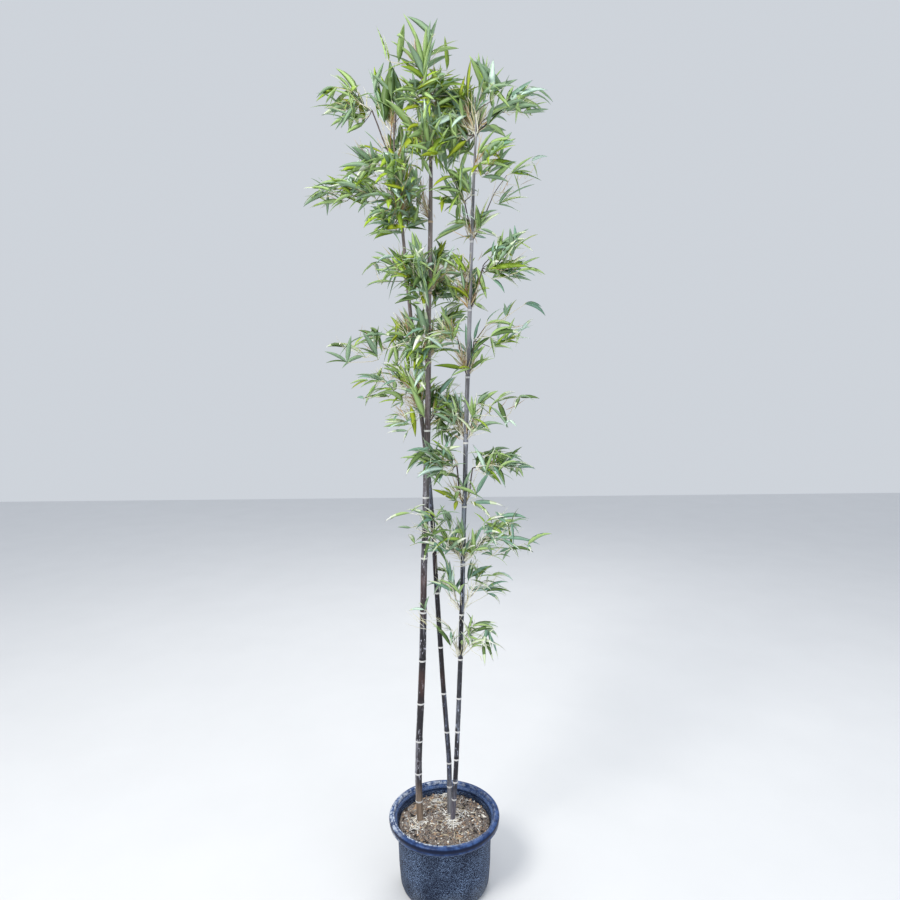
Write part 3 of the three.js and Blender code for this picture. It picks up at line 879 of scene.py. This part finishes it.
def spray_way(mass, place, rng):
    """The way a spray heads: the weighted sum of away from its cane, along its mass, out from the mass's
    middle line, chance and up. Near the cane there is more chance, or the spray stands straight up. Low
    sprays droop, and at a cane's top they head upwards."""
    axis = mass.cane.line(place[2])
    away = np.array([place[0] - axis[0], place[1] - axis[1], 0.0])
    away = away / max(np.linalg.norm(away), 25 * MM)
    middle = np.array([mass.line(share) for share in np.linspace(0, 1, 12)])
    outward = (place - middle[np.linalg.norm(middle - place, axis=1).argmin()]) / 0.035
    outward *= min(1.0, 1.2 / max(np.linalg.norm(outward), 1e-9))
    share = float(mass.share(place))
    chance = 0.62 - 0.42 * share
    climb = 0.06 - DROOP * float(np.interp(mass.root[2], DROOP_FADE, (1.0, 0.0)))
    if mass.top:
        chance, climb = 0.32, 0.75
    elif share < ERECT_SHARE and rng.random() < ERECT_CHANCE:
        chance, climb = 0.2, 1.9
    return unit(0.65 * away + 0.45 * mass.out + 0.8 * outward + rng.normal(0, chance, 3) + climb * UP)


def fan_ways(way, count, rng):
    """The ways of a spray's leaves: `way` turned about an axis square to it, evenly over the fan, and
    how far each is from the fan's middle."""
    axis = square_to(0.8 * UP + rng.normal(0, 0.8, 3), way)
    spread = rng.uniform(0.8, 1.35)
    angles = np.linspace(-spread, spread, count) + rng.normal(0, 0.14, count)
    side = np.cross(axis, way)
    ways = np.cos(angles)[:, None] * way + np.sin(angles)[:, None] * side
    return unit(ways + rng.normal(0, 0.16, (count, 3))), np.abs(angles) / spread


def fitted_way(mass, foot, way, length, rng):
    """Of the wished way and some near it, the one with the most room for the leaf, and that room."""
    tries = unit(way + np.concatenate([np.zeros((1, 3)), rng.normal(0, 0.36, (TRIES, 3))]))
    room = np.array([mass.room(foot, one, length + SPARE) for one in tries])
    score = np.minimum(room / length, 1) + 0.3 * (tries @ way)
    best = int(score.argmax())
    return tries[best], room[best]


class Growth:
    """Everything that grows on one cane, gathered as rows of numbers for the array functions.

    A twig or stalk is its start, its end, its ways there and its two radii. A leaf is its foot, its way,
    its length, its share of the usual width, its spray's draw of a tint and its joint's height. A sheath
    is its foot, its way, its length, its width and its draw of a tint. Draws are out of DRAWS."""

    def __init__(self):
        self.twigs, self.stalks, self.leaves, self.sheaths = [], [], [], []


DRAWS = 1000


def grow_mass(mass, growth, rng):
    """Twigs from the start to every place, and at each place a spray of leaves on a short stalk. A twig
    is as thick as a power of the number of sprays beyond it."""
    wanted = max(FEWEST_LEAVES, COVER * mass.fullness * mass.area / 4 / LEAF_SHOWN)
    places, parents = grow_tree(mass, spray_places(mass, max(2, round(wanted / SPRAY_LEAVES)), rng))
    ways = np.zeros_like(places)
    first = unit(mass.centre - mass.root)
    ways[0] = unit(mass.start - mass.root) if mass.has_bough else unit(first + STEEP * UP)
    load = np.ones(len(places))
    for i in range(len(places) - 1, 0, -1):
        load[parents[i]] += load[i]
        ways[i] = unit(places[i] - places[parents[i]])
    radius = TWIG_RADIUS * load**TWIG_SWELL
    for i in range(1, len(places)):
        mother = parents[i]
        turn = 0.6 * ways[i] if mother else 0.35 * rng.normal(0, 1, 3)
        leave = unit(ways[mother] + turn)
        thick = min(radius[mother], 1.5 * radius[i])
        growth.twigs.append([*places[mother], *places[i], *leave, *ways[i], thick, radius[i]])
    if mass.has_bough:
        leave = unit(mass.out + STEEP * UP)
        radii = BOUGH_RADII[0], max(radius[0], BOUGH_RADII[1])
        growth.twigs.append([*mass.root, *mass.start, *leave, *ways[0], *radii])
    for place, share in zip(places[1:], mass.share(places[1:])):
        way = spray_way(mass, place, rng)
        end = place + STALK["length"] * rng.uniform(0.5, 1.3) * way
        if mass.depth(end) < 0:
            end = place + 0.1 * (end - place)
        many = rng.normal(5.4 - 2.2 * share, 1.1)
        grow_spray(mass, place, end, way, many, 1 - 0.18 * share, growth, rng)


def grow_spray(mass, place, end, way, many, size, growth, rng):
    """A stalk from place to end, and a fan of about `many` leaves from its outer three quarters. Leaves
    without enough room are left out or shortened."""
    growth.stalks.append([*place, *end, *way, *way, STALK["radius"], 0.7 * STALK["radius"]])
    spray_tint = rng.integers(0, DRAWS)
    for wish, off in zip(*fan_ways(way, int(np.clip(many, 2, 8)), rng)):
        foot = place + (end - place) * rng.uniform(0.25, 1.0)
        common = np.interp(foot[2], CROWN_TOP, (LEAF["length"], LEAF["top_length"]))
        common *= TOP_LEAF if mass.top else 1
        length = np.clip(rng.normal(common, LEAF["spread"]), LEAF["shortest"], LEAF["longest"])
        length *= (1.08 - 0.16 * off) * size
        chosen, room = fitted_way(mass, foot, wish, length, rng)
        if room < LEAST_ROOM * length:
            continue
        length = min(length, room)
        plump = rng.uniform(0.85, 1.15)
        growth.leaves.append([*foot, *chosen, length, plump, spray_tint, mass.root[2]])


def grow_close_sprays(mass, growth, rng):
    """Short twigs that stand round the cane at the mass's joint, each with its spray of leaves. At the
    lowest joints all but the first have shed their leaves: they are grown, and left out."""
    for number in range(CLOSE_SPRAYS if mass.fullness > SPARSE else 1):
        shed = number > 0 and mass.root[2] < LEAFY_FROM
        turn = rng.uniform(0, 2 * math.pi)
        out = np.array([math.cos(turn), math.sin(turn), 0.0])
        way = unit(0.8 * out + 0.5 * mass.out + rng.uniform(0.5, 1.6) * UP)
        place = mass.root + rng.uniform(*CLOSE_REACH) * way
        growth.twigs.append([*mass.root, *place, *unit(way + UP), *way, 1.6 * TWIG_RADIUS, TWIG_RADIUS])
        heading = unit(way + rng.normal(0, 0.5, 3))
        end = place + 0.6 * STALK["length"] * heading
        kept = Growth() if shed else growth
        grow_spray(mass, place, end, heading, rng.normal(4.0, 1.0), 0.88, kept, rng)


def grow_sheaths(mass, growth, rng):
    """Papery sheaths round the foot of a mass's twigs, steep and close to the cane, and narrow torn
    strips of them farther out along the twigs."""
    base = unit(0.55 * mass.out + STEEP * UP)
    for _ in range(mass.sheaths):
        foot = mass.root + rng.uniform(0, 0.05) * base + rng.normal(0, 2.2 * MM, 3)
        way = unit(base + rng.normal(0, 0.28, 3))
        length, width = rng.uniform(0.025, 0.085), rng.uniform(2.4, 5.4) * MM
        growth.sheaths.append([*foot, *way, length, width, rng.integers(0, DRAWS)])
    for _ in range(round(TORN_SHARE * mass.sheaths)):
        foot = mass.line(rng.uniform(0.0, 0.7)) + rng.normal(0, 9 * MM, 3)
        way = unit(0.8 * mass.out + 0.7 * UP + rng.normal(0, 0.45, 3))
        length, width = rng.uniform(0.03, 0.09), rng.uniform(1.5, 3.2) * MM
        if mass.room(foot, way, length) < length:
            continue
        growth.sheaths.append([*foot, *way, length, width, rng.integers(0, DRAWS)])


# ---------------------------------------------------------------- making the crown

LEAF_TINTS = {
    "fresh_leaf": (0.410, 0.590, 0.060),
    "spring_leaf": (0.395, 0.580, 0.120),
    "green_leaf": (0.270, 0.410, 0.045),
    "olive_leaf": (0.315, 0.400, 0.028),
    "deep_leaf": (0.120, 0.202, 0.060),
    # bluish grey-green leaves: partly their own tint, partly a painted reflection of the pale sky
    "blue_leaf": (0.222, 0.390, 0.285),
    # pale blue-grey leaves: a painted highlight, the sky's reflection on the leaves
    "silver_leaf": (0.600, 0.780, 0.670),
    # pale straw leaves: real faded leaves and tips, and, dealt among the others, a painted highlight
    "straw_leaf": (0.700, 0.800, 0.560),
    "pale_underside": (0.405, 0.575, 0.225),
    "grey_underside": (0.295, 0.435, 0.270),
    "bleached_leaf": (0.840, 0.860, 0.800),
}
UNDERSIDES, FADED, BLEACHED = (8, 9), 7, 10
BARKS = {
    "dark_twig": (0.075, 0.052, 0.050),
    "tan_twig": (0.66, 0.58, 0.40),
    "cream_twig": (0.84, 0.82, 0.70),
}
STALK_COLOURS = {"cream_stalk": (0.66, 0.63, 0.38), "green_stalk": (0.30, 0.34, 0.10)}
PAPERS = {
    "cream_sheath": (0.86, 0.83, 0.70),
    "straw_sheath": (0.74, 0.69, 0.42),
    "tan_sheath": (0.68, 0.48, 0.26),
    "rusty_sheath": (0.46, 0.27, 0.11),
}
# How often each of the first eight tints is dealt to a spray, at these shares of the way from the top of
# the crown down to its foot.
# Down the crown the deep and blue tints grow commoner and the fresh, green and olive ones rarer: painted
# shade below a sunlit top.
DEAL_AT = [0.0, 0.15, 0.40, 0.62, 1.0]
TINT_AND_SHADE_DEALS = np.array([
    [0.14, 0.13, 0.15, 0.23, 0.10, 0.05, 0.16, 0.04],
    [0.12, 0.11, 0.14, 0.20, 0.14, 0.10, 0.16, 0.03],
    [0.07, 0.06, 0.16, 0.17, 0.30, 0.14, 0.07, 0.03],
    [0.05, 0.06, 0.09, 0.09, 0.28, 0.25, 0.15, 0.03],
    [0.00, 0.02, 0.05, 0.01, 0.39, 0.36, 0.15, 0.02],
])
DEAL_TOP, DEAL_DEPTH = 2.2, 1.4  # that way starts at this height and is this long
OWN_TINT = 0.25  # the share of leaves that take a tint of their own and not their spray's


def make_leaves(growth, name, tints, replaced, rng):
    """All leaves on one cane in one mesh. A leaf takes its spray's tint above and an underside tint
    below. Low down more of them have a faded and bleached tip, or such a streak along one half."""
    foot, way, length, plump, spray_draw, joint_height = columns(growth.leaves, 3, 3, 1, 1, 1, 1)
    count = len(foot)
    low = np.clip((DEAL_TOP - joint_height) / DEAL_DEPTH, 0.0, 1.0)
    width = np.maximum(length * LEAF["slimness"] * plump * (1 - 0.22 * low), LEAF["narrowest"])
    level = square_to(np.tile(UP, (count, 1)) + rng.normal(0, 0.05, (count, 3)), way)
    roll = rng.normal(0, 0.85, count)[:, None]
    face = np.cos(roll) * level + np.sin(roll) * np.cross(way, level)
    bend = np.clip(rng.normal(0.55, 0.25, count) + 0.35 * low, 0.1, 1.5) * np.sqrt(1.05 - way[:, 2] ** 2)
    twist = rng.normal(0, 0.35, count)
    fold = rng.uniform(0.05, 0.45, count)
    points = blade_points(foot, way, level, face, length, width, np.maximum(bend, 0.06), twist, fold)

    upper, share, half = (marks[None] for marks in blade_marks())
    draw = np.where(rng.random(count) < OWN_TINT, rng.random(count), spray_draw / DRAWS)
    # Painted shade: tints are dealt darker and bluer lower down the crown.
    deal = np.stack([np.interp(low, DEAL_AT, shares) for shares in TINT_AND_SHADE_DEALS.T], axis=1)
    tint = (draw[:, None] > deal.cumsum(1)).sum(1).clip(0, TINT_AND_SHADE_DEALS.shape[1] - 1)
    under = rng.choice(UNDERSIDES, count)
    slots = np.where(upper == 1, tint[:, None], under[:, None])
    worn = (rng.random(count) < 0.03 + 0.42 * low**2)[:, None]
    edge = rng.uniform(0.6, 0.95, (count, 1))
    slots = np.where(worn & (share > edge - 0.2), FADED, slots)
    slots = np.where(worn & (share > edge), BLEACHED, slots)
    streaked = (rng.random(count) < 0.24 * low**2)[:, None] & (half == rng.integers(0, 2, (count, 1)))
    edge = rng.uniform(0.1, 0.6, (count, 1))
    slots = np.where(streaked & (share > edge), FADED, slots)
    slots = np.where(streaked & (share > edge + 0.25), BLEACHED, slots)
    walls = len(blade_faces()[0])
    add_blades(name, points, tints, slots[:, :walls], slots[:, walls:], replaced)


def make_twigs(rows, name, finishes, choose, replaced=()):
    """All twigs of a kind in one mesh. `choose` gives each twig's finish from its start and radius."""
    start, end, start_way, end_way, start_radius, end_radius = columns(rows, 3, 3, 3, 3, 1, 1)
    points = twig_points(start, end, start_way, end_way, start_radius, end_radius)
    count, each = points.shape[:2]
    which = choose(start, start_radius)
    parts = tube_faces(TWIG_RINGS, TWIG_SIDES)
    faces = [repeat_faces(part, count, each) for part in parts]
    slots = np.concatenate([np.repeat(which, len(part)) for part in parts])
    add_piece(name, points.reshape(-1, 3), faces, finishes, slots, replaces=replaced)


SHEATH_DEAL = np.cumsum([0.28, 0.24, 0.30, 0.18])  # cream, straw, tan and rusty


def make_sheaths(growth, name, finishes, rng):
    """Sheaths are narrow, stiff and strongly folded blades, paler at the crown's foot and its top."""
    foot, way, length, width, draw = columns(growth.sheaths, 3, 3, 1, 1, 1)
    count = len(foot)
    level = square_to(rng.normal(0, 1, (count, 3)), way)
    face = square_to(rng.normal(0, 1, (count, 3)), way)
    bend = rng.uniform(0.1, 0.7, count)
    twist = rng.normal(0, 0.5, count)
    fold = rng.uniform(0.5, 1.0, count)
    points = blade_points(foot, way, level, face, length, width, bend, twist, fold, belly=0.5, stalk=0.5)
    low = np.clip((1.5 - foot[:, 2]) / 0.5, 0, 1)
    high = np.clip((foot[:, 2] - 2.2) / 0.1, 0, 1)
    which = np.searchsorted(SHEATH_DEAL, draw / DRAWS * (1 - 0.62 * low - 0.4 * high)).clip(0, 3)
    wall_slots, cap_slots = (np.repeat(which, len(part)) for part in blade_faces())
    add_blades(name, points, finishes, wall_slots, cap_slots)


def twig_colours(start, radius):
    """Which bark each twig has: dark on most of the thick ones high up and on fewer low down, where more
    of the others are cream."""
    chance = RNG.random(len(start))
    low = np.clip((1.9 - start[:, 2]) / 1.0, 0, 1)
    dark = (radius > 1.0 * MM) & (chance < 0.75 - 0.45 * low)
    return np.where(dark, 0, np.where(chance > 0.72 - 0.6 * low, 2, 1))


def stalk_colours(start, radius):
    """Cream or green stalks, at random."""
    return RNG.integers(0, 2, len(start))


def make_crown(canes):
    """Grows every mass on each cane, and makes the cane's leaves, twigs, stalks and sheaths, each kind
    in one mesh."""
    tints = finishes_of(leaf_finish, LEAF_TINTS)
    barks, greens, papers = (finishes_of(twig_finish, kind) for kind in (BARKS, STALK_COLOURS, PAPERS))
    nodes = sorted(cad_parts)
    for node in canes:
        short = node.replace("culm_", "")
        growth = Growth()
        own = [name for name in nodes if name.startswith(f"foliage_{short}_")]
        for name in own:
            mass = Mass(name, canes)
            grow_mass(mass, growth, RNG)
            if not mass.top:
                grow_close_sprays(mass, growth, RNG)
            grow_sheaths(mass, growth, RNG)
        boughs = [name for name in nodes if name.startswith(f"bough_{short}_")]
        make_leaves(growth, f"leaves_{short}", tints, own, RNG)
        make_twigs(growth.twigs, f"twigs_{short}", barks, twig_colours, boughs)
        make_twigs(growth.stalks, f"leaf_stalks_{short}", greens, stalk_colours)
        make_sheaths(growth, f"papery_sheaths_{short}", papers, RNG)


# ---------------------------------------------------------------- pot and potting mix

POT_SEGMENTS = 160
# The wall's upper half, up to its turn into the rim: radius and height.
WALL_TOP = [(0.1405, 0.120), (0.1420, 0.160), (0.1428, 0.190), (0.1436, 0.2045)]


def pot_radius(points, height, outer):
    """The pot's outer or inner radius on the CAD ring nearest a height."""
    rings = np.unique(np.round(points[:, 2], 4))
    level = rings[np.abs(rings - height).argmin()]
    radius = np.linalg.norm(points[np.abs(points[:, 2] - level) < 0.2 * MM][:, :2], axis=1)
    radius = radius[radius > 0.05]
    return radius.max() if outer else radius.min()


def arc(centre, radii, start, end, steps):
    """Points of an arc in the half-section, angles in degrees from outward to up."""
    angle = np.radians(np.linspace(start, end, steps))
    return np.stack([centre[0] + radii[0] * np.cos(angle), centre[1] + radii[1] * np.sin(angle)], -1)


def make_pot():
    """The pot, turned from one half-section: a flat underside, a rounded heel, a wall with a slight
    belly, a hollow rolled rim with a small bead on its inner lip, and the inside down to the floor."""
    points, _ = read_node("pot")
    _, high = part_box("pot")
    top, rim = high.z, high.x
    foot, heel = pot_radius(points, 0.0, True), pot_radius(points, 0.004, True)
    waist = [(pot_radius(points, height, True), height) for height in (0.024, 0.075)]
    opening = pot_radius(points, 0.219, False)
    profile = np.concatenate([
        [[0, 0], [0.04, 0], [0.09, 0], [foot - 0.004, 0]],
        arc((foot - 0.003, 0.0065), (heel - foot + 0.003, 0.0065), -90, -10, 7),
        [[heel + 0.0008, 0.009], [(heel + waist[0][0]) / 2 + 0.0012, 0.016]],
        waist,
        WALL_TOP,
        arc((0.1500, 0.2045), (0.0064, 0.0085), 180, 90, 5),
        arc((0.1575, 0.2070), (0.0052, 0.0060), 90, 0, 4),
        [[0.1629, 0.2010], [0.1634, RIM_FOOT + 0.0004]],
        [[0.1650, RIM_FOOT], [0.1664, RIM_FOOT + 0.0008]],
        [[rim - 0.0018, RIM_FOOT + 0.005], [rim - 0.0004, top - 0.014]],
        arc((rim - 0.0085, top - 0.0100), (0.0085, 0.0086), 5, 85, 7),
        [[0.1585, top - 0.0016], [0.1568, top - 0.0013]],
        arc((0.1545, top - 0.0022), (0.0021, 0.0022), 60, 180, 6),
        [[opening + 0.0002, top - 0.006], [0.1490, 0.2120], [0.1460, 0.2040], [0.1425, 0.1975]],
        [[0.1400, 0.1900], [0.1330, 0.070], [0.1290, 0.008], [0.1240, 0.0045], [0.06, 0.0042]],
        [[0, 0.0042]],
    ])
    shape = turned_points(profile, POT_SEGMENTS)
    faces = tube_faces(len(profile) - 2, POT_SEGMENTS)
    add_piece("pot_moulding", shape, faces, [pot_finish()], replaces=["pot"])


MIX_WAVES = 26
WAVE_RATES = (25, 420)  # the least and the most radians of a wave in a metre
MIX_SEGMENTS = 150
MIX_RINGS = 45


def mix_relief(rng):
    """The height of the mix over its CAD top at any x, y: a low bell-shaped mound in the middle, sunk at
    the back and along the wall, under a sum of seeded cosine waves of many lengths."""
    ways = rng.uniform(0, 2 * math.pi, MIX_WAVES)
    rates = rng.uniform(*WAVE_RATES, MIX_WAVES)
    phases = rng.uniform(0, 2 * math.pi, MIX_WAVES)
    heights = 1.9 * MM * (60 / (rates + 60)) ** 0.7

    def relief(x, y):
        away = np.hypot(x, y)
        sunk = 5 * MM * np.clip((away - 0.118) / 0.02, 0, 1) ** 1.5
        mound = 3.5 * MM * np.exp(-((away / 0.07) ** 2)) - sunk
        tilt = -0.018 * y
        waves = (x[..., None] * np.cos(ways) + y[..., None] * np.sin(ways)) * rates + phases
        return mound + tilt + (np.cos(waves) * heights).sum(-1) * 0.55

    return relief


def make_mix(canes, rng):
    """The bed of mix: a disc of rings, closer together towards the middle, lifted by the relief, with a
    tapering underside. Crumbs and roots lie on it."""
    low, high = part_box("soil")
    rim, top, foot = high.x - 0.4 * MM, high.z, low.z
    relief = mix_relief(rng)
    radii = np.unique(np.round(rim * np.linspace(0, 1, MIX_RINGS + 1)[1:] ** 1.15, 6))
    surface = [[radius, top] for radius in radii]
    underside = [[rim * 0.985, 0.15], [rim * 0.93, foot + 1 * MM], [0, foot]]
    profile = np.array([[0, top], *surface, *underside])

    def wobble(rings):
        """Lifts the surface's rings by the relief."""
        upper = rings[: len(radii)]
        upper[..., 2] += relief(upper[..., 0], upper[..., 1])
        return rings

    shape = turned_points(profile, MIX_SEGMENTS, wobble)
    shape[-2, 2] += relief(np.zeros(1), np.zeros(1))[0]
    faces = [part[:, ::-1] for part in tube_faces(len(profile) - 2, MIX_SEGMENTS)]
    add_piece("mix_bed", shape, faces, [mix_finish()], replaces=["soil"])
    make_crumbs(relief, rim, top, rng)
    make_roots(relief, rim, top, canes, rng)


CRUMBS = 2600
CRUMB_SIZES = (0.7, 7.0)  # mm
CRUMB_SHAPE = [(0.8, 2.0), (0.5, 1.1), (0.3, 0.7)]  # the least and most of its size along each axis
CRUMB_COLOURS = {
    "brown_bark": (0.22, 0.160, 0.125),
    "dark_bark": (0.030, 0.025, 0.024),
    "tan_bark": (0.50, 0.34, 0.22),
    "pale_grit": (0.84, 0.82, 0.76),
    "grey_grit": (0.37, 0.36, 0.35),
}
CRUMB_DEAL = [0.30, 0.27, 0.19, 0.11, 0.13]  # how often each of those colours is dealt
LUMP_CORNERS = [[1, 0, 0], [0, 1, 0], [-1, 0, 0], [0, -1, 0], [0, 0, 1], [0, 0, -1]]
LUMP_FACES = [[0, 1, 4], [1, 2, 4], [2, 3, 4], [3, 0, 4], [1, 0, 5], [2, 1, 5], [3, 2, 5], [0, 3, 5]]


def strewn(reach, count, rng):
    """Random points spread evenly over a disc of that radius: x and y."""
    away = reach * np.sqrt(rng.random(count))
    angle = rng.uniform(0, 2 * math.pi, count)
    return away * np.cos(angle), away * np.sin(angle)


def make_crumbs(relief, rim, top, rng):
    """Bark chips and grit on the mix: squashed eight-sided lumps of many sizes, each turned its own way
    and sunk a little into the mix."""
    x, y = strewn(rim - 4 * MM, CRUMBS, rng)
    size = np.clip(rng.lognormal(0.50, 0.55, CRUMBS), *CRUMB_SIZES) * MM
    stretch = np.stack([rng.uniform(least, most, CRUMBS) for least, most in CRUMB_SHAPE], -1)
    lumps = np.array(LUMP_CORNERS, float)[None] * (size[:, None] * stretch)[:, None]
    lumps += rng.normal(0, 0.18, lumps.shape) * size[:, None, None]
    first = unit(rng.normal(0, 1, (CRUMBS, 3)) * [1, 1, 0.35])
    third = square_to(np.tile(UP, (CRUMBS, 1)) + rng.normal(0, 0.35, (CRUMBS, 3)), first)
    second = np.cross(third, first)
    axes = [axis[:, None] for axis in (first, second, third)]
    turned = lumps[..., 0:1] * axes[0] + lumps[..., 1:2] * axes[1] + lumps[..., 2:3] * axes[2]
    places = np.stack([x, y, top + relief(x, y) + 0.25 * size], -1)
    points = (turned + places[:, None]).reshape(-1, 3)
    finishes = finishes_of(crumb_finish, CRUMB_COLOURS)
    which = np.searchsorted(np.cumsum(CRUMB_DEAL), rng.random(CRUMBS)).clip(0, len(finishes) - 1)
    faces = [repeat_faces(np.array(LUMP_FACES), CRUMBS, len(LUMP_CORNERS))]
    slots = np.repeat(which, len(LUMP_FACES))
    add_piece("mix_crumbs", points, faces, finishes, slots, smooth=False)


STREWN_ROOTS = 120
CANE_ROOTS = 22  # round the foot of each cane
ROOT_COLOURS = {"straw_root": (0.70, 0.62, 0.46), "white_root": (0.93, 0.92, 0.89)}
# Tangles of fine roots on the mix: place in metres from the pot's axis, and how many roots.
TANGLES = [
    (-0.024, 0.079, 26), (-0.088, -0.034, 20), (0.023, -0.018, 30), (0.001, 0.125, 16),
    (0.05, 0.03, 10),
]


def make_roots(relief, rim, top, canes, rng):
    """Pale dry roots on the mix: short bent tubes strewn over it, and closer and curlier ones round the
    canes and in tangles."""
    middles = [np.stack(strewn(rim - 0.02, STREWN_ROOTS, rng), -1)]
    for cane in canes.values():
        middles.append(cane.line(cane.levels[0])[:2] + rng.normal(0, 0.014, (CANE_ROOTS, 2)))
    for x, y, many in TANGLES:
        middles.append(np.array([x, y]) + rng.normal(0, 0.010, (many, 2)))
    middle = np.concatenate(middles)
    count = len(middle)
    curly = (np.arange(count) >= STREWN_ROOTS).astype(float)
    heading = rng.uniform(0, 2 * math.pi, count)
    half = rng.uniform(0.004, 0.016, count)
    way = np.stack([np.cos(heading), np.sin(heading)], -1)
    reach = rim - 3 * MM

    def on_mix(flat, extra):
        """The x, y pulled inside the pot, and `extra` over the mix there."""
        flat = flat * np.minimum(1, reach / np.linalg.norm(flat, axis=1))[:, None]
        return np.concatenate([flat, (top + extra + relief(flat[:, 0], flat[:, 1]))[:, None]], axis=1)

    start = on_mix(middle - half[:, None] * way, -0.4 * MM)
    end = on_mix(middle + half[:, None] * way, rng.uniform(0, 3.5, count) * MM)
    bow = rng.normal(0, 1, (count, 3)) * (0.6 + 0.9 * curly)[:, None]
    bow[:, 2] = np.abs(bow[:, 2]) * 0.5
    chord = unit(end - start)
    thick = rng.uniform(0.45, 0.95, (count, 1)) * (1 + 0.35 * curly[:, None]) * MM
    rows = np.concatenate([start, end, unit(chord + bow), unit(chord - bow), thick, 0.75 * thick], axis=1)
    finishes = finishes_of(twig_finish, ROOT_COLOURS)

    def choose(start, radius):
        return (rng.random(len(start)) < 0.40 + 0.45 * curly).astype(int)

    make_twigs(rows, "dry_roots", finishes, choose)


def make_floor():
    """A square flat floor."""
    half = FLOOR_SIZE / 2
    points = np.array([[-half, -half, 0], [half, -half, 0], [half, half, 0], [-half, half, 0]])
    mesh = bpy.data.meshes.new("floor")
    mesh.from_pydata(points.tolist(), [], [[0, 1, 2, 3]])
    mesh.materials.append(floor_finish())
    floor = bpy.data.objects.new("floor", mesh)
    bpy.context.scene.collection.objects.link(floor)


# ---------------------------------------------------------------- the plant

set_camera()
set_light()
make_floor()

JOINT_RISE = {"culm_thick": 0.5 * MM, "culm_leaning": 4 * MM, "culm_slender": 6 * MM}
CANES = {node: Cane(node, rise) for node, rise in JOINT_RISE.items()}
POWDER = twig_finish("pale_powder", (0.66, 0.65, 0.64), 0.8)
SCAR_ROUGHNESS = 0.7
# For each cane: bare skin, rust, bloom, its weathered foot and the foot's top, its skin high up, its
# joints' scars, and the shares of bloom and rust on each internode from the lowest up.
CANE_LOOKS = {
    "thick": {
        "skin": (0.012, 0.010, 0.014),
        "rust": (0.092, 0.040, 0.031),
        "bloom": (0.330, 0.330, 0.385),
        "foot": (0.33, 0.25, 0.19),
        "foot_top": 0.265,
        "high": (0.225, 0.185, 0.175),
        "scar": ("tan_scar", (0.46, 0.34, 0.23)),
        "sections": [
            (0.30, 0.30), (0.40, 0.20), (0.52, 0.10), (0.18, 0.00),
            (0.06, 0.55), (0.95, 0.00), (0.35, 0.60), (0.45, 0.20),
        ],
    },
    "leaning": {
        "skin": (0.011, 0.009, 0.012),
        "rust": (0.092, 0.038, 0.027),
        "bloom": (0.255, 0.300, 0.440),
        "foot": (0.28, 0.28, 0.31),
        "foot_top": 0.260,
        "high": (0.235, 0.190, 0.175),
        "scar": ("brown_scar", (0.34, 0.27, 0.22)),
        "sections": [
            (0.70, 0.00), (0.50, 0.00), (0.38, 0.00), (0.30, 0.10),
            (0.00, 0.20), (0.15, 0.10), (0.30, 0.40), (0.45, 0.20),
        ],
    },
    "slender": {
        "skin": (0.012, 0.011, 0.015),
        "rust": (0.080, 0.042, 0.038),
        "bloom": (0.295, 0.325, 0.410),
        "foot": (0.20, 0.19, 0.235),
        "foot_top": 0.240,
        "high": (0.30, 0.295, 0.325),
        "scar": ("grey_scar", (0.48, 0.48, 0.50)),
        "sections": [
            (0.50, 0.10), (0.65, 0.20), (0.00, 0.10), (0.62, 0.00),
            (0.50, 0.00), (0.24, 0.00), (0.45, 0.10), (0.60, 0.00),
        ],
    },
}
for short, looks in CANE_LOOKS.items():
    cane = CANES[f"culm_{short}"]
    skin = cane_finish(f"{short}_cane_skin", looks, cane)
    scar = twig_finish(*looks["scar"], SCAR_ROUGHNESS)
    make_cane(cane, f"cane_{short}", skin, POWDER, scar)
make_crown(CANES)
make_pot()
make_mix(CANES, np.random.default_rng(7))
